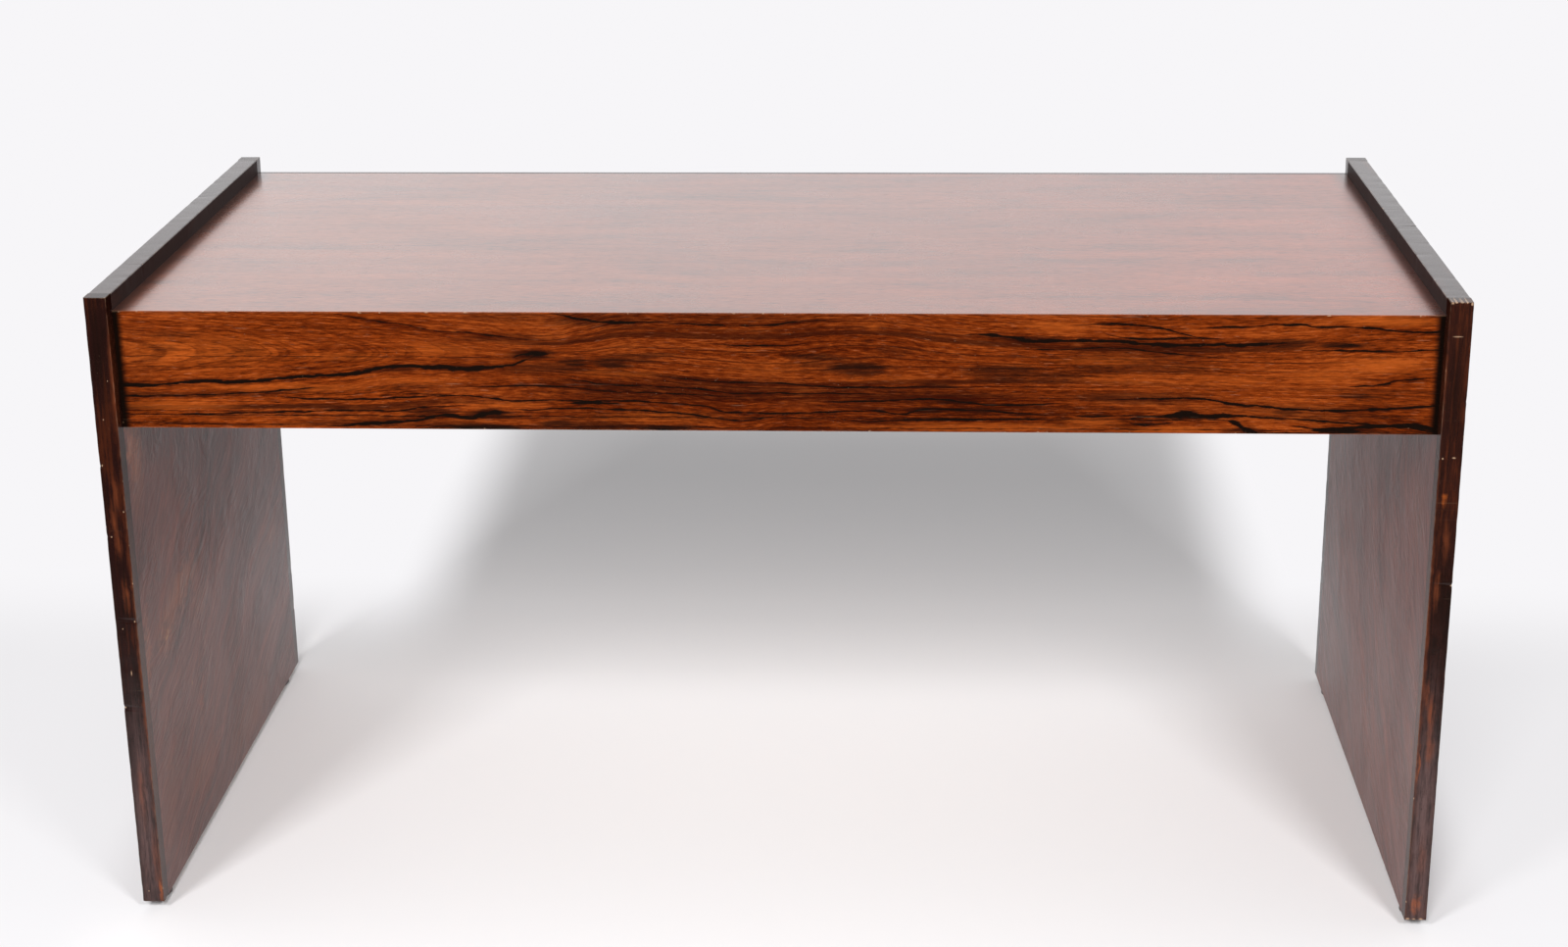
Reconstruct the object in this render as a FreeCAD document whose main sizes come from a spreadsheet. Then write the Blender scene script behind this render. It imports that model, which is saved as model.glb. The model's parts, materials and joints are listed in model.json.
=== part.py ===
# Office desk: a shallow veneered box with three drawers, hung between two slab ends.
# Millimetres, +Z up, origin on the floor under the middle of the desk. The plain fascia faces -Y,
# the drawers open towards +Y, and left and right are as seen from the fascia's side (left is -X).

import FreeCAD
import Part
import Sketcher
import os
import re

DRAWER_NAMES = ("left", "centre", "right")
DRAWER_COUNT = len(DRAWER_NAMES)
SIDE_SIGNS = {"left": -1, "right": 1}
TAIL_COUNT = 3

SIZES = {
    # the whole desk and its slab ends
    "overall_width": 1500,
    "overall_depth": 700,
    "end_height": 740,
    "end_thickness": 25,
    "lip_rise": 20,
    "lipping_width": 19,
    "lipping_radius": 1,
    # floor glides, each with a moulded-in nail
    "glide_diameter": 24.5,
    "glide_foot_diameter": 15,
    "glide_height": 10,
    "glide_rim_height": 5,
    "glide_radius": 2.5,
    "glide_front_inset": 35,
    "glide_back_inset": 60,
    "nail_diameter": 3,
    "nail_head_diameter": 9,
    "nail_head_thickness": 1.5,
    "nail_head_lift": 3.5,
    "nail_bite": 20,
    # top and fascia, mitred along the front edge
    "frieze_height": 135,
    "front_setback": 19,
    "back_setback": 3,
    "top_thickness": 22,
    "fascia_thickness": 22,
    "mitre_chamfer": 0.6,
    "tongue_thickness": 4,
    "tongue_width": 14,
    "top_lipping_width": 8,
    # box under the top
    "cheek_thickness": 16,
    "partition_thickness": 18,
    "rail_width": 45,
    "rail_thickness": 16,
    "finger_room": 34,
    "block_leg": 25,
    "block_length": 80,
    "block_inset": 60,
    # dowels, bolts and screws
    "dowel_diameter": 8,
    "dowel_length": 30,
    "dowel_blind_depth": 11,
    "dowel_end_inset": 70,
    "dowel_edge_inset": 28,
    "bolt_diameter": 6,
    "bolt_head_diameter": 12,
    "bolt_head_height": 3.3,
    "bolt_bite": 11,
    "bolt_end_inset": 95,
    "bolt_edge_inset": 22,
    "insert_diameter": 10,
    "insert_length": 13,
    "screw_diameter": 4,
    "screw_head_diameter": 8,
    "screw_head_height": 2.6,
    "runner_screw_bite": 7,
    "runner_screw_inset": 60,
    "rail_screw_bite": 24,
    # drawers and their runners
    "drawer_front_thickness": 18,
    "drawer_front_gap": 2,
    "drawer_front_radius": 1,
    "drawer_stop_gap": 0.5,
    "grip_bevel_depth": 7,
    "grip_bevel_height": 15,
    "drawer_side_thickness": 12,
    "drawer_back_thickness": 12,
    "drawer_bottom_thickness": 5,
    "drawer_bottom_lift": 8,
    "drawer_groove_depth": 6,
    "drawer_top_gap": 8,
    "drawer_rail_gap": 3,
    "drawer_side_gap": 2.5,
    "drawer_rear_room": 70,
    "drawer_front_lap": 7,
    "tail_root_share": 0.44,
    "tail_tip_share": 0.66,
    "runner_height": 14,
    "runner_clearance": 0.3,
    "runner_rear_gap": 12,
    "runner_groove_stop": 30,
    "runner_groove_depth": 6,
}

# Levels, planes and widths that follow from the sizes.
PLACES = {
    "end_foot_z": "glide_height",
    "end_top_z": "end_foot_z + end_height",
    "desk_z": "end_top_z - lip_rise",
    "frieze_z": "desk_z - frieze_height",
    "soffit_z": "desk_z - top_thickness",
    "inner_x": "overall_width / 2 - end_thickness",
    "end_mid_x": "overall_width / 2 - end_thickness / 2",
    "front_y": "-overall_depth / 2",
    "back_y": "overall_depth / 2",
    "fascia_y": "front_y + front_setback",
    "fascia_back_y": "fascia_y + fascia_thickness",
    "desk_back_y": "back_y - back_setback",
    "drawer_face_y": "desk_back_y",
    "drawer_root_y": "drawer_face_y - drawer_front_thickness",
    "carcass_back_y": "drawer_root_y - drawer_stop_gap",
    "mitre_length": "sqrt(fascia_thickness ^ 2 + top_thickness ^ 2)",
    "mitre_mid_y": "fascia_y + fascia_thickness / 2",
    "mitre_mid_z": "desk_z - top_thickness / 2",
    "chamfer_mid_y": "mitre_chamfer * fascia_thickness / (fascia_thickness + top_thickness)",
    "rail_back_y": "carcass_back_y - finger_room",
    "rail_front_y": "rail_back_y - rail_width",
    "rail_top_z": "frieze_z + rail_thickness",
    "bay_width": f"(2 * inner_x - 2 * cheek_thickness - {DRAWER_COUNT - 1} * partition_thickness)"
                 f" / {DRAWER_COUNT}",
    "bay_pitch": "bay_width + partition_thickness",
    "first_bay_x": "cheek_thickness - inner_x",
    "front_width": f"(2 * inner_x - {DRAWER_COUNT + 1} * drawer_front_gap) / {DRAWER_COUNT}",
    "front_pitch": "front_width + drawer_front_gap",
    "first_front_x": "drawer_front_gap - inner_x",
    "drawer_foot_z": "rail_top_z + drawer_rail_gap",
    "drawer_rim_z": "soffit_z - drawer_top_gap",
    "drawer_height": "drawer_rim_z - drawer_foot_z",
    "drawer_width": "bay_width - 2 * drawer_side_gap",
    "drawer_rear_y": "fascia_back_y + drawer_rear_room",
    "drawer_back_y": "drawer_rear_y + drawer_back_thickness",
    "tail_tip_y": "drawer_face_y - drawer_front_lap",
    "drawer_floor_z": "drawer_foot_z + drawer_bottom_lift + drawer_bottom_thickness",
    "runner_mid_z": "(drawer_foot_z + drawer_rim_z) / 2",
    "runner_front_y": "fascia_back_y + runner_rear_gap",
    "runner_groove_y": "drawer_root_y - runner_groove_stop",
    "runner_back_y": "runner_groove_y - runner_clearance",
    "runner_thickness": "drawer_side_gap + runner_groove_depth - runner_clearance",
}


def bay_x(number):
    return f"first_bay_x + {number} * bay_pitch"


# The boards that stand between the top and the drawers' level: low X and thickness, left to right.
UPRIGHTS = {
    "left_cheek": ("-inner_x", "cheek_thickness"),
    "left_partition": (f"{bay_x(0)} + bay_width", "partition_thickness"),
    "right_partition": (f"{bay_x(1)} + bay_width", "partition_thickness"),
    "right_cheek": ("inner_x - cheek_thickness", "cheek_thickness"),
}
UPRIGHT_NAMES = tuple(UPRIGHTS)
UPRIGHT_MIDDLES = {name: f"{low_x} + {thickness} / 2" for name, (low_x, thickness) in UPRIGHTS.items()}

WORD = re.compile(r"[a-z_]+")


def formula(text):
    """Expand the named places and sizes in text into a formula on the sheet's cells."""
    def cell(match):
        word = match.group(0)
        if word in PLACES:
            return f"({formula(PLACES[word])})"
        return f"Sizes.{word}" if word in SIZES else word
    return WORD.sub(cell, str(text))


def bind(item, **formulas):
    for name, text in formulas.items():
        item.setExpression(name, formula(text))


def put(item, point):
    for axis, text in zip("xyz", point):
        item.setExpression(f"Placement.Base.{axis}", formula(text))


def new(kind, label):
    item = doc.addObject(kind, label)
    item.Label = label
    return item


def box(label, corner, length, width, height):
    item = new("Part::Box", label)
    bind(item, Length=length, Width=width, Height=height)
    put(item, corner)
    return item


AXIS_TURNS = {
    "+x": FreeCAD.Rotation(FreeCAD.Vector(0, 1, 0), 90),
    "-x": FreeCAD.Rotation(FreeCAD.Vector(0, 1, 0), -90),
    "+y": FreeCAD.Rotation(FreeCAD.Vector(1, 0, 0), -90),
    "+z": FreeCAD.Rotation(),
}


def cylinder(label, point, axis, diameter, length):
    item = new("Part::Cylinder", label)
    item.Placement.Rotation = AXIS_TURNS[axis]
    bind(item, Radius=f"{diameter} / 2", Height=length)
    put(item, point)
    return item


def cone(label, point, axis, base_diameter, far_diameter, length):
    item = new("Part::Cone", label)
    item.Placement.Rotation = AXIS_TURNS[axis]
    bind(item, Radius1=f"{base_diameter} / 2", Radius2=f"{far_diameter} / 2", Height=length)
    put(item, point)
    return item


def joined(label, pieces):
    item = new("Part::MultiFuse", label)
    item.Shapes = pieces
    item.Refine = True
    return item


def group(label, pieces):
    item = new("Part::Compound", label)
    item.Links = pieces
    return item


def cut(label, blank, tools):
    item = new("Part::Cut", label)
    item.Base = blank
    item.Tool = tools[0] if len(tools) == 1 else group(f"{label}_cutters", tools)
    return item


def countersunk(label, point, axis, name, length):
    head = cone(f"{label}_head", point, axis, f"{name}_head_diameter", f"{name}_diameter",
                f"{name}_head_height")
    shank = cylinder(f"{label}_shank", point, axis, f"{name}_diameter", length)
    return joined(label, [head, shank])


def polygon_sketch(body, label, plane_role, points):
    """A closed outline on one of the body's origin planes, each corner tied to its formulas."""
    sketch = body.newObject("Sketcher::SketchObject", label)
    plane = next(item for item in body.Origin.OriginFeatures if item.Role == plane_role)
    sketch.AttachmentSupport = [(plane, "")]
    sketch.MapMode = "FlatFace"
    corners = [
        FreeCAD.Vector(*(float(sheet.evalExpression(formula(text))) for text in point), 0)
        for point in points
    ]
    for start, end in zip(corners, corners[1:] + corners[:1]):
        sketch.addGeometry(Part.LineSegment(start, end), False)
    for index, (point, corner) in enumerate(zip(points, corners)):
        following = (index + 1) % len(points)
        sketch.addConstraint(Sketcher.Constraint("Coincident", index, 2, following, 1))
        for kind, text, value in zip(("DistanceX", "DistanceY"), point, corner):
            number = sketch.addConstraint(Sketcher.Constraint(kind, -1, 1, index, 1, value))
            sketch.setExpression(f"Constraints[{number}]", formula(text))
    return sketch


def extruded(label, plane_role, points, start, length):
    """A body padded from an outline: along X from a YZ outline, along Z from an XY outline."""
    body = new("PartDesign::Body", label)
    pad = body.newObject("PartDesign::Pad", f"{label}_pad")
    pad.Profile = polygon_sketch(body, f"{label}_outline", plane_role, points)
    bind(pad, Length=length)
    axis = {"YZ_Plane": "x", "XY_Plane": "z"}[plane_role]
    body.setExpression(f"Placement.Base.{axis}", formula(start))
    return body


def rectangle(low_u, low_v, high_u, high_v):
    return [(low_u, low_v), (high_u, low_v), (high_u, high_v), (low_u, high_v)]


def softened(body, radius, wanted):
    """Round the edges of a body for which wanted(edge box, whole box) is true."""
    doc.recompute()
    solid = body.Tip
    whole = solid.Shape.BoundBox
    names = [
        f"Edge{number}"
        for number, edge in enumerate(solid.Shape.Edges, start=1)
        if wanted(edge.BoundBox, whole)
    ]
    fillet = body.newObject("PartDesign::Fillet", f"{body.Label}_arris")
    fillet.Base = (solid, names)
    bind(fillet, Radius=radius)
    return body


def at(value, level):
    return abs(value - level) < FreeCAD.Base.Precision.confusion()


def on_top_along(edge, whole):
    return at(edge.ZMin, whole.ZMax) and at(edge.XLength, 0)


def on_front(edge, whole):
    return at(edge.YMax, whole.YMin)


def on_back(edge, whole):
    return at(edge.YMin, whole.YMax)


def make_glide(label, point):
    """A moulded foot: its rim stands in from the end's faces and its foot is smaller and flat."""
    body = new("PartDesign::Body", label)
    outline = [
        ("glide_foot_diameter / 2", 0),
        ("glide_diameter / 2", "glide_height - glide_rim_height"),
        ("glide_diameter / 2", "glide_height"),
        (0, "glide_height"),
        (0, 0),
    ]
    turned = body.newObject("PartDesign::Revolution", f"{label}_turning")
    sketch = polygon_sketch(body, f"{label}_outline", "XZ_Plane", outline)
    turned.Profile = sketch
    turned.ReferenceAxis = (sketch, ["V_Axis"])
    softened(body, "glide_radius",
             lambda edge, whole: at(edge.ZLength, 0) and not at(edge.ZMax, whole.ZMax))
    put(body, point)
    return body


def make_nail(label, point):
    x, y, z = point
    head_z = f"{z} + nail_head_lift"
    head = cylinder(f"{label}_head", (x, y, head_z), "+z", "nail_head_diameter",
                    "nail_head_thickness")
    shank = cylinder(f"{label}_shank", (x, y, head_z), "+z", "nail_diameter",
                     "glide_height - nail_head_lift + nail_bite")
    return joined(label, [head, shank])


def make_glides():
    spots = [
        (side, place, (f"{sign} * end_mid_x", y, 0))
        for side, sign in SIDE_SIGNS.items()
        for place, y in (("front", "front_y + glide_front_inset"), ("back", "back_y - glide_back_inset"))
    ]
    nails = {}
    glides = []
    for side, place, spot in spots:
        nail = make_nail(f"{side}_{place}_glide_nail", spot)
        blank = make_glide(f"{side}_{place}_glide_blank", spot)
        glides.append(cut(f"{side}_{place}_glide", blank, [nail]))
        nails.setdefault(side, []).append(nail)
    pieces = [group("floor_glides", glides), group("glide_nails", nails["left"] + nails["right"])]
    return pieces, nails


def make_bolts():
    """Bolts through each cheek, two rows of two, and the inserts in the slab end that take them."""
    bolts = {}
    inserts = {}
    rows = ("frieze_z + bolt_edge_inset", "soffit_z - bolt_edge_inset")
    columns = ("fascia_back_y + bolt_end_inset", "carcass_back_y - bolt_end_inset")
    spots = [(y, z) for y in columns for z in rows]
    for side, sign in SIDE_SIGNS.items():
        axis = "+x" if sign > 0 else "-x"
        for number, (y, z) in enumerate(spots, start=1):
            name = f"{side}_{number}"
            head_x = f"{sign} * (inner_x - cheek_thickness)"
            bolt = countersunk(f"bolt_{name}", (head_x, y, z), axis, "bolt",
                               "cheek_thickness + bolt_bite")
            sleeve = cylinder(f"insert_{name}_blank", (f"{sign} * inner_x", y, z), axis,
                              "insert_diameter", "insert_length")
            bolts.setdefault(side, []).append(bolt)
            inserts.setdefault(side, []).append(cut(f"insert_{name}", sleeve, [bolt]))
    return bolts, inserts


def make_end(side, nails, inserts, bolts):
    """One slab end: a veneered board with solid lippings on its front, back and top edges."""
    sign = SIDE_SIGNS[side]
    low_x = "inner_x" if sign > 0 else "-overall_width / 2"
    high_x = "overall_width / 2" if sign > 0 else "-inner_x"
    board_front = "front_y + lipping_width"
    board_back = "back_y - lipping_width"
    board_top = "end_top_z - lipping_width"
    blank = box(f"{side}_end_blank", (low_x, board_front, "end_foot_z"), "end_thickness",
                "overall_depth - 2 * lipping_width", "end_height - lipping_width")
    core = cut(f"{side}_end_core", blank, nails[side] + inserts[side] + bolts[side])
    front = extruded(f"{side}_end_front_lipping", "XY_Plane",
                     rectangle(low_x, "front_y", high_x, board_front), "end_foot_z", "end_height")
    softened(front, "lipping_radius",
             lambda edge, whole: on_front(edge, whole) or on_top_along(edge, whole))
    back = extruded(f"{side}_end_back_lipping", "XY_Plane",
                    rectangle(low_x, board_back, high_x, "back_y"), "end_foot_z", "end_height")
    softened(back, "lipping_radius",
             lambda edge, whole: on_back(edge, whole) or on_top_along(edge, whole))
    top = extruded(f"{side}_end_top_lipping", "XY_Plane",
                   rectangle(low_x, board_front, high_x, board_back), board_top, "lipping_width")
    softened(top, "lipping_radius", on_top_along)
    return [core, front, back, top]


def make_tongue():
    """Loose tongue across the middle of the mitre."""
    along = ("fascia_thickness / mitre_length", "-top_thickness / mitre_length")
    across = ("top_thickness / mitre_length", "fascia_thickness / mitre_length")

    def corner(along_sign, across_sign):
        return tuple(
            f"{middle} + {along_sign} * tongue_thickness / 2 * ({run})"
            f" + {across_sign} * tongue_width / 2 * ({rise})"
            for middle, run, rise in zip(("mitre_mid_y", "mitre_mid_z"), along, across)
        )
    corners = [corner(-1, -1), corner(1, -1), corner(1, 1), corner(-1, 1)]
    return extruded("mitre_tongue", "YZ_Plane", corners, "-inner_x", "2 * inner_x")


def make_dowels():
    """Upright dowels into the top and level dowels into the fascia, on each upright's centre line."""
    columns = (
        "fascia_back_y + dowel_end_inset",
        "(fascia_back_y + carcass_back_y) / 2",
        "carcass_back_y - dowel_end_inset",
    )
    rows = ("frieze_z + dowel_edge_inset", "soffit_z - dowel_edge_inset")
    upright_z = "soffit_z + dowel_blind_depth - dowel_length"
    level_y = "fascia_back_y - dowel_blind_depth"
    upright = {}
    level = {}
    for name, x in UPRIGHT_MIDDLES.items():
        upright[name] = [
            cylinder(f"{name}_top_dowel_{number}", (x, y, upright_z), "+z", "dowel_diameter",
                     "dowel_length")
            for number, y in enumerate(columns, start=1)
        ]
        level[name] = [
            cylinder(f"{name}_fascia_dowel_{number}", (x, level_y, z), "+y", "dowel_diameter",
                     "dowel_length")
            for number, z in enumerate(rows, start=1)
        ]
    return upright, level


def make_top(tongue, upright_dowels):
    outline = [
        ("fascia_y + mitre_chamfer", "desk_z"),
        ("fascia_y + chamfer_mid_y", "desk_z + chamfer_mid_y - mitre_chamfer"),
        ("fascia_back_y", "soffit_z"),
        ("desk_back_y - top_lipping_width", "soffit_z"),
        ("desk_back_y - top_lipping_width", "desk_z"),
    ]
    blank = extruded("desk_top_blank", "YZ_Plane", outline, "-inner_x", "2 * inner_x")
    return cut("desk_top", blank, [tongue] + upright_dowels)


def make_top_lipping():
    lipping = extruded("top_back_lipping", "YZ_Plane",
                       rectangle("desk_back_y - top_lipping_width", "soffit_z", "desk_back_y", "desk_z"),
                       "-inner_x", "2 * inner_x")
    return softened(lipping, "lipping_radius",
                    lambda edge, whole: on_back(edge, whole) and edge.XLength > 0)


def make_fascia(tongue, level_dowels):
    outline = [
        ("fascia_y", "frieze_z"),
        ("fascia_back_y", "frieze_z"),
        ("fascia_back_y", "soffit_z"),
        ("fascia_y + chamfer_mid_y", "desk_z + chamfer_mid_y - mitre_chamfer"),
        ("fascia_y", "desk_z - mitre_chamfer"),
    ]
    blank = extruded("front_fascia_blank", "YZ_Plane", outline, "-inner_x", "2 * inner_x")
    return cut("front_fascia", blank, [tongue] + level_dowels)


def make_rail(rail_screws):
    """Tie rail under the drawers, in notches cut in the lower edges of cheeks and partitions."""
    blank = box("under_rail_blank", ("-inner_x", "rail_front_y", "frieze_z"), "2 * inner_x",
                "rail_width", "rail_thickness")
    return cut("under_rail", blank, rail_screws)


def make_upright(label, tools):
    """A cheek or a partition, notched for the tie rail."""
    outline = [
        ("fascia_back_y", "frieze_z"),
        ("rail_front_y", "frieze_z"),
        ("rail_front_y", "rail_top_z"),
        ("rail_back_y", "rail_top_z"),
        ("rail_back_y", "frieze_z"),
        ("carcass_back_y", "frieze_z"),
        ("carcass_back_y", "soffit_z"),
        ("fascia_back_y", "soffit_z"),
    ]
    return cut(label, extruded(f"{label}_blank", "YZ_Plane", outline, *UPRIGHTS[label]), tools)


def make_runners():
    """Two runners in each bay, with screws through them into the upright behind."""
    runners = []
    screws = {name: [] for name in UPRIGHT_NAMES}
    screw_columns = ("runner_front_y + runner_screw_inset", "runner_back_y - runner_screw_inset")
    low_z = "runner_mid_z - runner_height / 2"
    for number, drawer in enumerate(DRAWER_NAMES):
        left_wall = bay_x(number)
        right_wall = f"{left_wall} + bay_width"
        right_x = f"{right_wall} - runner_thickness"
        sides = (
            ("left", UPRIGHT_NAMES[number], left_wall, f"{left_wall} + runner_thickness", "-x"),
            ("right", UPRIGHT_NAMES[number + 1], right_x, right_x, "+x"),
        )
        for side, upright, low_x, head_x, axis in sides:
            name = f"{drawer}_bay_{side}_runner"
            fixings = [
                countersunk(f"{name}_screw_{spot}", (head_x, y, "runner_mid_z"), axis, "screw",
                            "runner_thickness + runner_screw_bite")
                for spot, y in enumerate(screw_columns, start=1)
            ]
            blank = box(f"{name}_blank", (low_x, "runner_front_y", low_z), "runner_thickness",
                        "runner_back_y - runner_front_y", "runner_height")
            runners.append(cut(name, blank, fixings))
            screws[upright] += fixings
    return runners, screws


def make_rail_screws():
    middle_y = "(rail_front_y + rail_back_y) / 2"
    return {
        name: countersunk(f"{name}_rail_screw", (x, middle_y, "frieze_z"), "+z", "screw",
                          "rail_thickness + rail_screw_bite")
        for name, x in UPRIGHT_MIDDLES.items()
    }


def make_blocks():
    """Triangular glue blocks in the corner of the top and the fascia, two to a bay."""
    blocks = []
    for number, drawer in enumerate(DRAWER_NAMES):
        starts = (
            f"{bay_x(number)} + block_inset",
            f"{bay_x(number)} + bay_width - block_inset - block_length",
        )
        for spot, low_x in enumerate(starts, start=1):
            corner = [
                ("fascia_back_y", "soffit_z - block_leg"),
                ("fascia_back_y + block_leg", "soffit_z"),
                ("fascia_back_y", "soffit_z"),
            ]
            blocks.append(extruded(f"{drawer}_bay_block_{spot}", "YZ_Plane", corner, low_x, "block_length"))
    return group("glue_blocks", blocks)


def dovetails(label, x, y_span, y_shares, z_span):
    """A row of tails along Z: wedges over y_span, whose height goes from the first share to the second."""
    low_y, high_y = y_span
    low_z, high_z = z_span
    high_x = f"{x} + drawer_side_thickness"
    pitch = f"({high_z} - ({low_z})) / {TAIL_COUNT}"
    tails = []
    for number in range(TAIL_COUNT):
        tail = new("Part::Wedge", f"{label}_{number + 1}")
        bind(tail, Xmin=x, X2min=x, Xmax=high_x, X2max=high_x, Ymin=low_y, Ymax=high_y)
        middle = f"{low_z} + ({number} + 1 / 2) * {pitch}"
        for end, share in zip(("Z", "Z2"), y_shares):
            bind(tail, **{f"{end}min": f"{middle} - {share} / 2 * {pitch}",
                          f"{end}max": f"{middle} + {share} / 2 * {pitch}"})
        tails.append(tail)
    return tails


def runner_groove(label, x):
    return box(label, (x, "drawer_rear_y", "runner_mid_z - runner_height / 2 - runner_clearance"),
               "runner_groove_depth", "runner_groove_y - drawer_rear_y",
               "runner_height + 2 * runner_clearance")


def make_drawer_side(label, x, grooves):
    """A side with tails at both ends, grooved outside for the runner and inside for the bottom."""
    board = box(f"{label}_board", (x, "drawer_back_y", "drawer_foot_z"), "drawer_side_thickness",
                "drawer_root_y - drawer_back_y", "drawer_height")
    heel = box(f"{label}_heel", (x, "drawer_rear_y", "drawer_foot_z"), "drawer_side_thickness",
               "drawer_back_thickness", "drawer_floor_z - drawer_foot_z")
    front_tails = dovetails(f"{label}_front_tail", x, ("drawer_root_y", "tail_tip_y"),
                            ("tail_root_share", "tail_tip_share"), ("drawer_foot_z", "drawer_rim_z"))
    back_tails = dovetails(f"{label}_back_tail", x, ("drawer_rear_y", "drawer_back_y"),
                           ("tail_tip_share", "tail_root_share"), ("drawer_floor_z", "drawer_rim_z"))
    blank = joined(f"{label}_blank", [board, heel] + front_tails + back_tails)
    return cut(label, blank, grooves)


def make_drawer_front(label, number, tools):
    """An overlay front whose lower back edge is bevelled for the fingers."""
    outline = [
        ("drawer_root_y + grip_bevel_depth", "frieze_z"),
        ("drawer_face_y", "frieze_z"),
        ("drawer_face_y", "soffit_z - drawer_front_gap"),
        ("drawer_root_y", "soffit_z - drawer_front_gap"),
        ("drawer_root_y", "frieze_z + grip_bevel_height"),
    ]
    blank = extruded(f"{label}_blank", "YZ_Plane", outline,
                     f"first_front_x + {number} * front_pitch", "front_width")
    softened(blank, "drawer_front_radius", on_back)
    return cut(label, blank, tools)


def make_drawer(number, drawer):
    name = f"{drawer}_drawer"
    left_x = f"{bay_x(number)} + drawer_side_gap"
    right_x = f"{left_x} + drawer_width - drawer_side_thickness"
    bottom = box(f"{name}_bottom",
                 (f"{left_x} + drawer_side_thickness - drawer_groove_depth", "drawer_rear_y",
                  "drawer_foot_z + drawer_bottom_lift"),
                 "drawer_width - 2 * (drawer_side_thickness - drawer_groove_depth)",
                 "drawer_root_y + drawer_groove_depth - drawer_rear_y", "drawer_bottom_thickness")
    left_groove = runner_groove(f"{name}_left_groove", left_x)
    right_groove = runner_groove(f"{name}_right_groove", f"{left_x} + drawer_width - runner_groove_depth")
    left = make_drawer_side(f"{name}_left_side", left_x, [left_groove, bottom])
    right = make_drawer_side(f"{name}_right_side", right_x, [right_groove, bottom])
    back_blank = box(f"{name}_back_blank", (left_x, "drawer_rear_y", "drawer_floor_z"), "drawer_width",
                     "drawer_back_thickness", "drawer_rim_z - drawer_floor_z")
    back = cut(f"{name}_back", back_blank, [left, right, left_groove, right_groove])
    front = make_drawer_front(f"{name}_front", number, [left, right, bottom])
    return [front, left, right, back, bottom]


def make_desk():
    glides, nails = make_glides()
    bolts, inserts = make_bolts()
    tongue = make_tongue()
    upright_dowels, level_dowels = make_dowels()
    runners, runner_screws = make_runners()
    rail_screws = make_rail_screws()
    cheek_bolts = {"left_cheek": bolts["left"], "right_cheek": bolts["right"]}
    all_upright = sum(upright_dowels.values(), [])
    all_level = sum(level_dowels.values(), [])

    pieces = []
    for side in SIDE_SIGNS:
        pieces += make_end(side, nails, inserts, bolts)
    pieces += [make_top(tongue, all_upright), make_top_lipping(), make_fascia(tongue, all_level), tongue]
    for name in UPRIGHT_NAMES:
        dowels = upright_dowels[name] + level_dowels[name]
        fixings = cheek_bolts.get(name, []) + runner_screws[name] + [rail_screws[name]]
        pieces.append(make_upright(name, dowels + fixings))
    pieces += [make_rail(list(rail_screws.values())), make_blocks()]
    pieces += runners
    pieces += glides
    pieces += [
        group("top_dowels", all_upright),
        group("fascia_dowels", all_level),
        group("cheek_bolts", bolts["left"] + bolts["right"]),
        group("cheek_inserts", inserts["left"] + inserts["right"]),
        group("runner_screws", sum(runner_screws.values(), [])),
        group("rail_screws", list(rail_screws.values())),
    ]
    for number, drawer in enumerate(DRAWER_NAMES):
        pieces += make_drawer(number, drawer)
    return pieces


def check(pieces):
    failed = [item.Label for item in doc.Objects if {"Invalid", "Error"} & set(item.State)]
    failed += [piece.Label for piece in pieces if piece.Shape.isNull() or not piece.Shape.isValid()]
    if failed:
        raise RuntimeError(f"failed pieces: {failed}")


doc = FreeCAD.newDocument("OfficeDesk")
sheet = new("Spreadsheet::Sheet", "Sizes")
for row, (alias, size) in enumerate(SIZES.items(), start=1):
    sheet.set(f"A{row}", alias)
    sheet.set(f"B{row}", str(size))
    sheet.setAlias(f"B{row}", alias)
doc.recompute()

desk_pieces = make_desk()
doc.recompute()
check(desk_pieces)
os.makedirs("parts", exist_ok=True)
for piece in desk_pieces:
    piece.Shape.exportStep(f"parts/{piece.Label}.step")
    print(piece.Label, len(piece.Shape.Solids), round(piece.Shape.Volume))
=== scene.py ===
import json
import math

import bmesh
import bpy
from mathutils import Matrix, Vector
from mathutils import noise as mathNoise


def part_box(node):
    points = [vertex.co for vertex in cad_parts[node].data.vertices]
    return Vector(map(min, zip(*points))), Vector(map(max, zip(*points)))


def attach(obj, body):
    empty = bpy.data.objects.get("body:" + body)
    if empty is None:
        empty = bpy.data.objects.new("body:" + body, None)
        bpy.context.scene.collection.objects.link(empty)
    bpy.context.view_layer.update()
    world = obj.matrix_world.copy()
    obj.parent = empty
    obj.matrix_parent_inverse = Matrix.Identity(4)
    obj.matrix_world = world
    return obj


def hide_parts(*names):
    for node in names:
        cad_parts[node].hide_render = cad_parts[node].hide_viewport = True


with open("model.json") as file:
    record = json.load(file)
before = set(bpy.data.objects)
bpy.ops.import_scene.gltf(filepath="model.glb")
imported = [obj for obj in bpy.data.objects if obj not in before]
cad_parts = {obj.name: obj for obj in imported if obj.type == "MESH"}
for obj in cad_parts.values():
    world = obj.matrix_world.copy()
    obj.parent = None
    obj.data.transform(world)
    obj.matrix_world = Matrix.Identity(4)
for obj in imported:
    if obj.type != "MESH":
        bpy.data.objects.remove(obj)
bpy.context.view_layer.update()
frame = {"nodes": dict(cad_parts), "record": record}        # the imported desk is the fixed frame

nodes = frame["nodes"]
scene = bpy.context.scene
scene.view_settings.view_transform = "Standard"
print("frame loaded:", len(nodes), "nodes")


# node tree helpers

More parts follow.
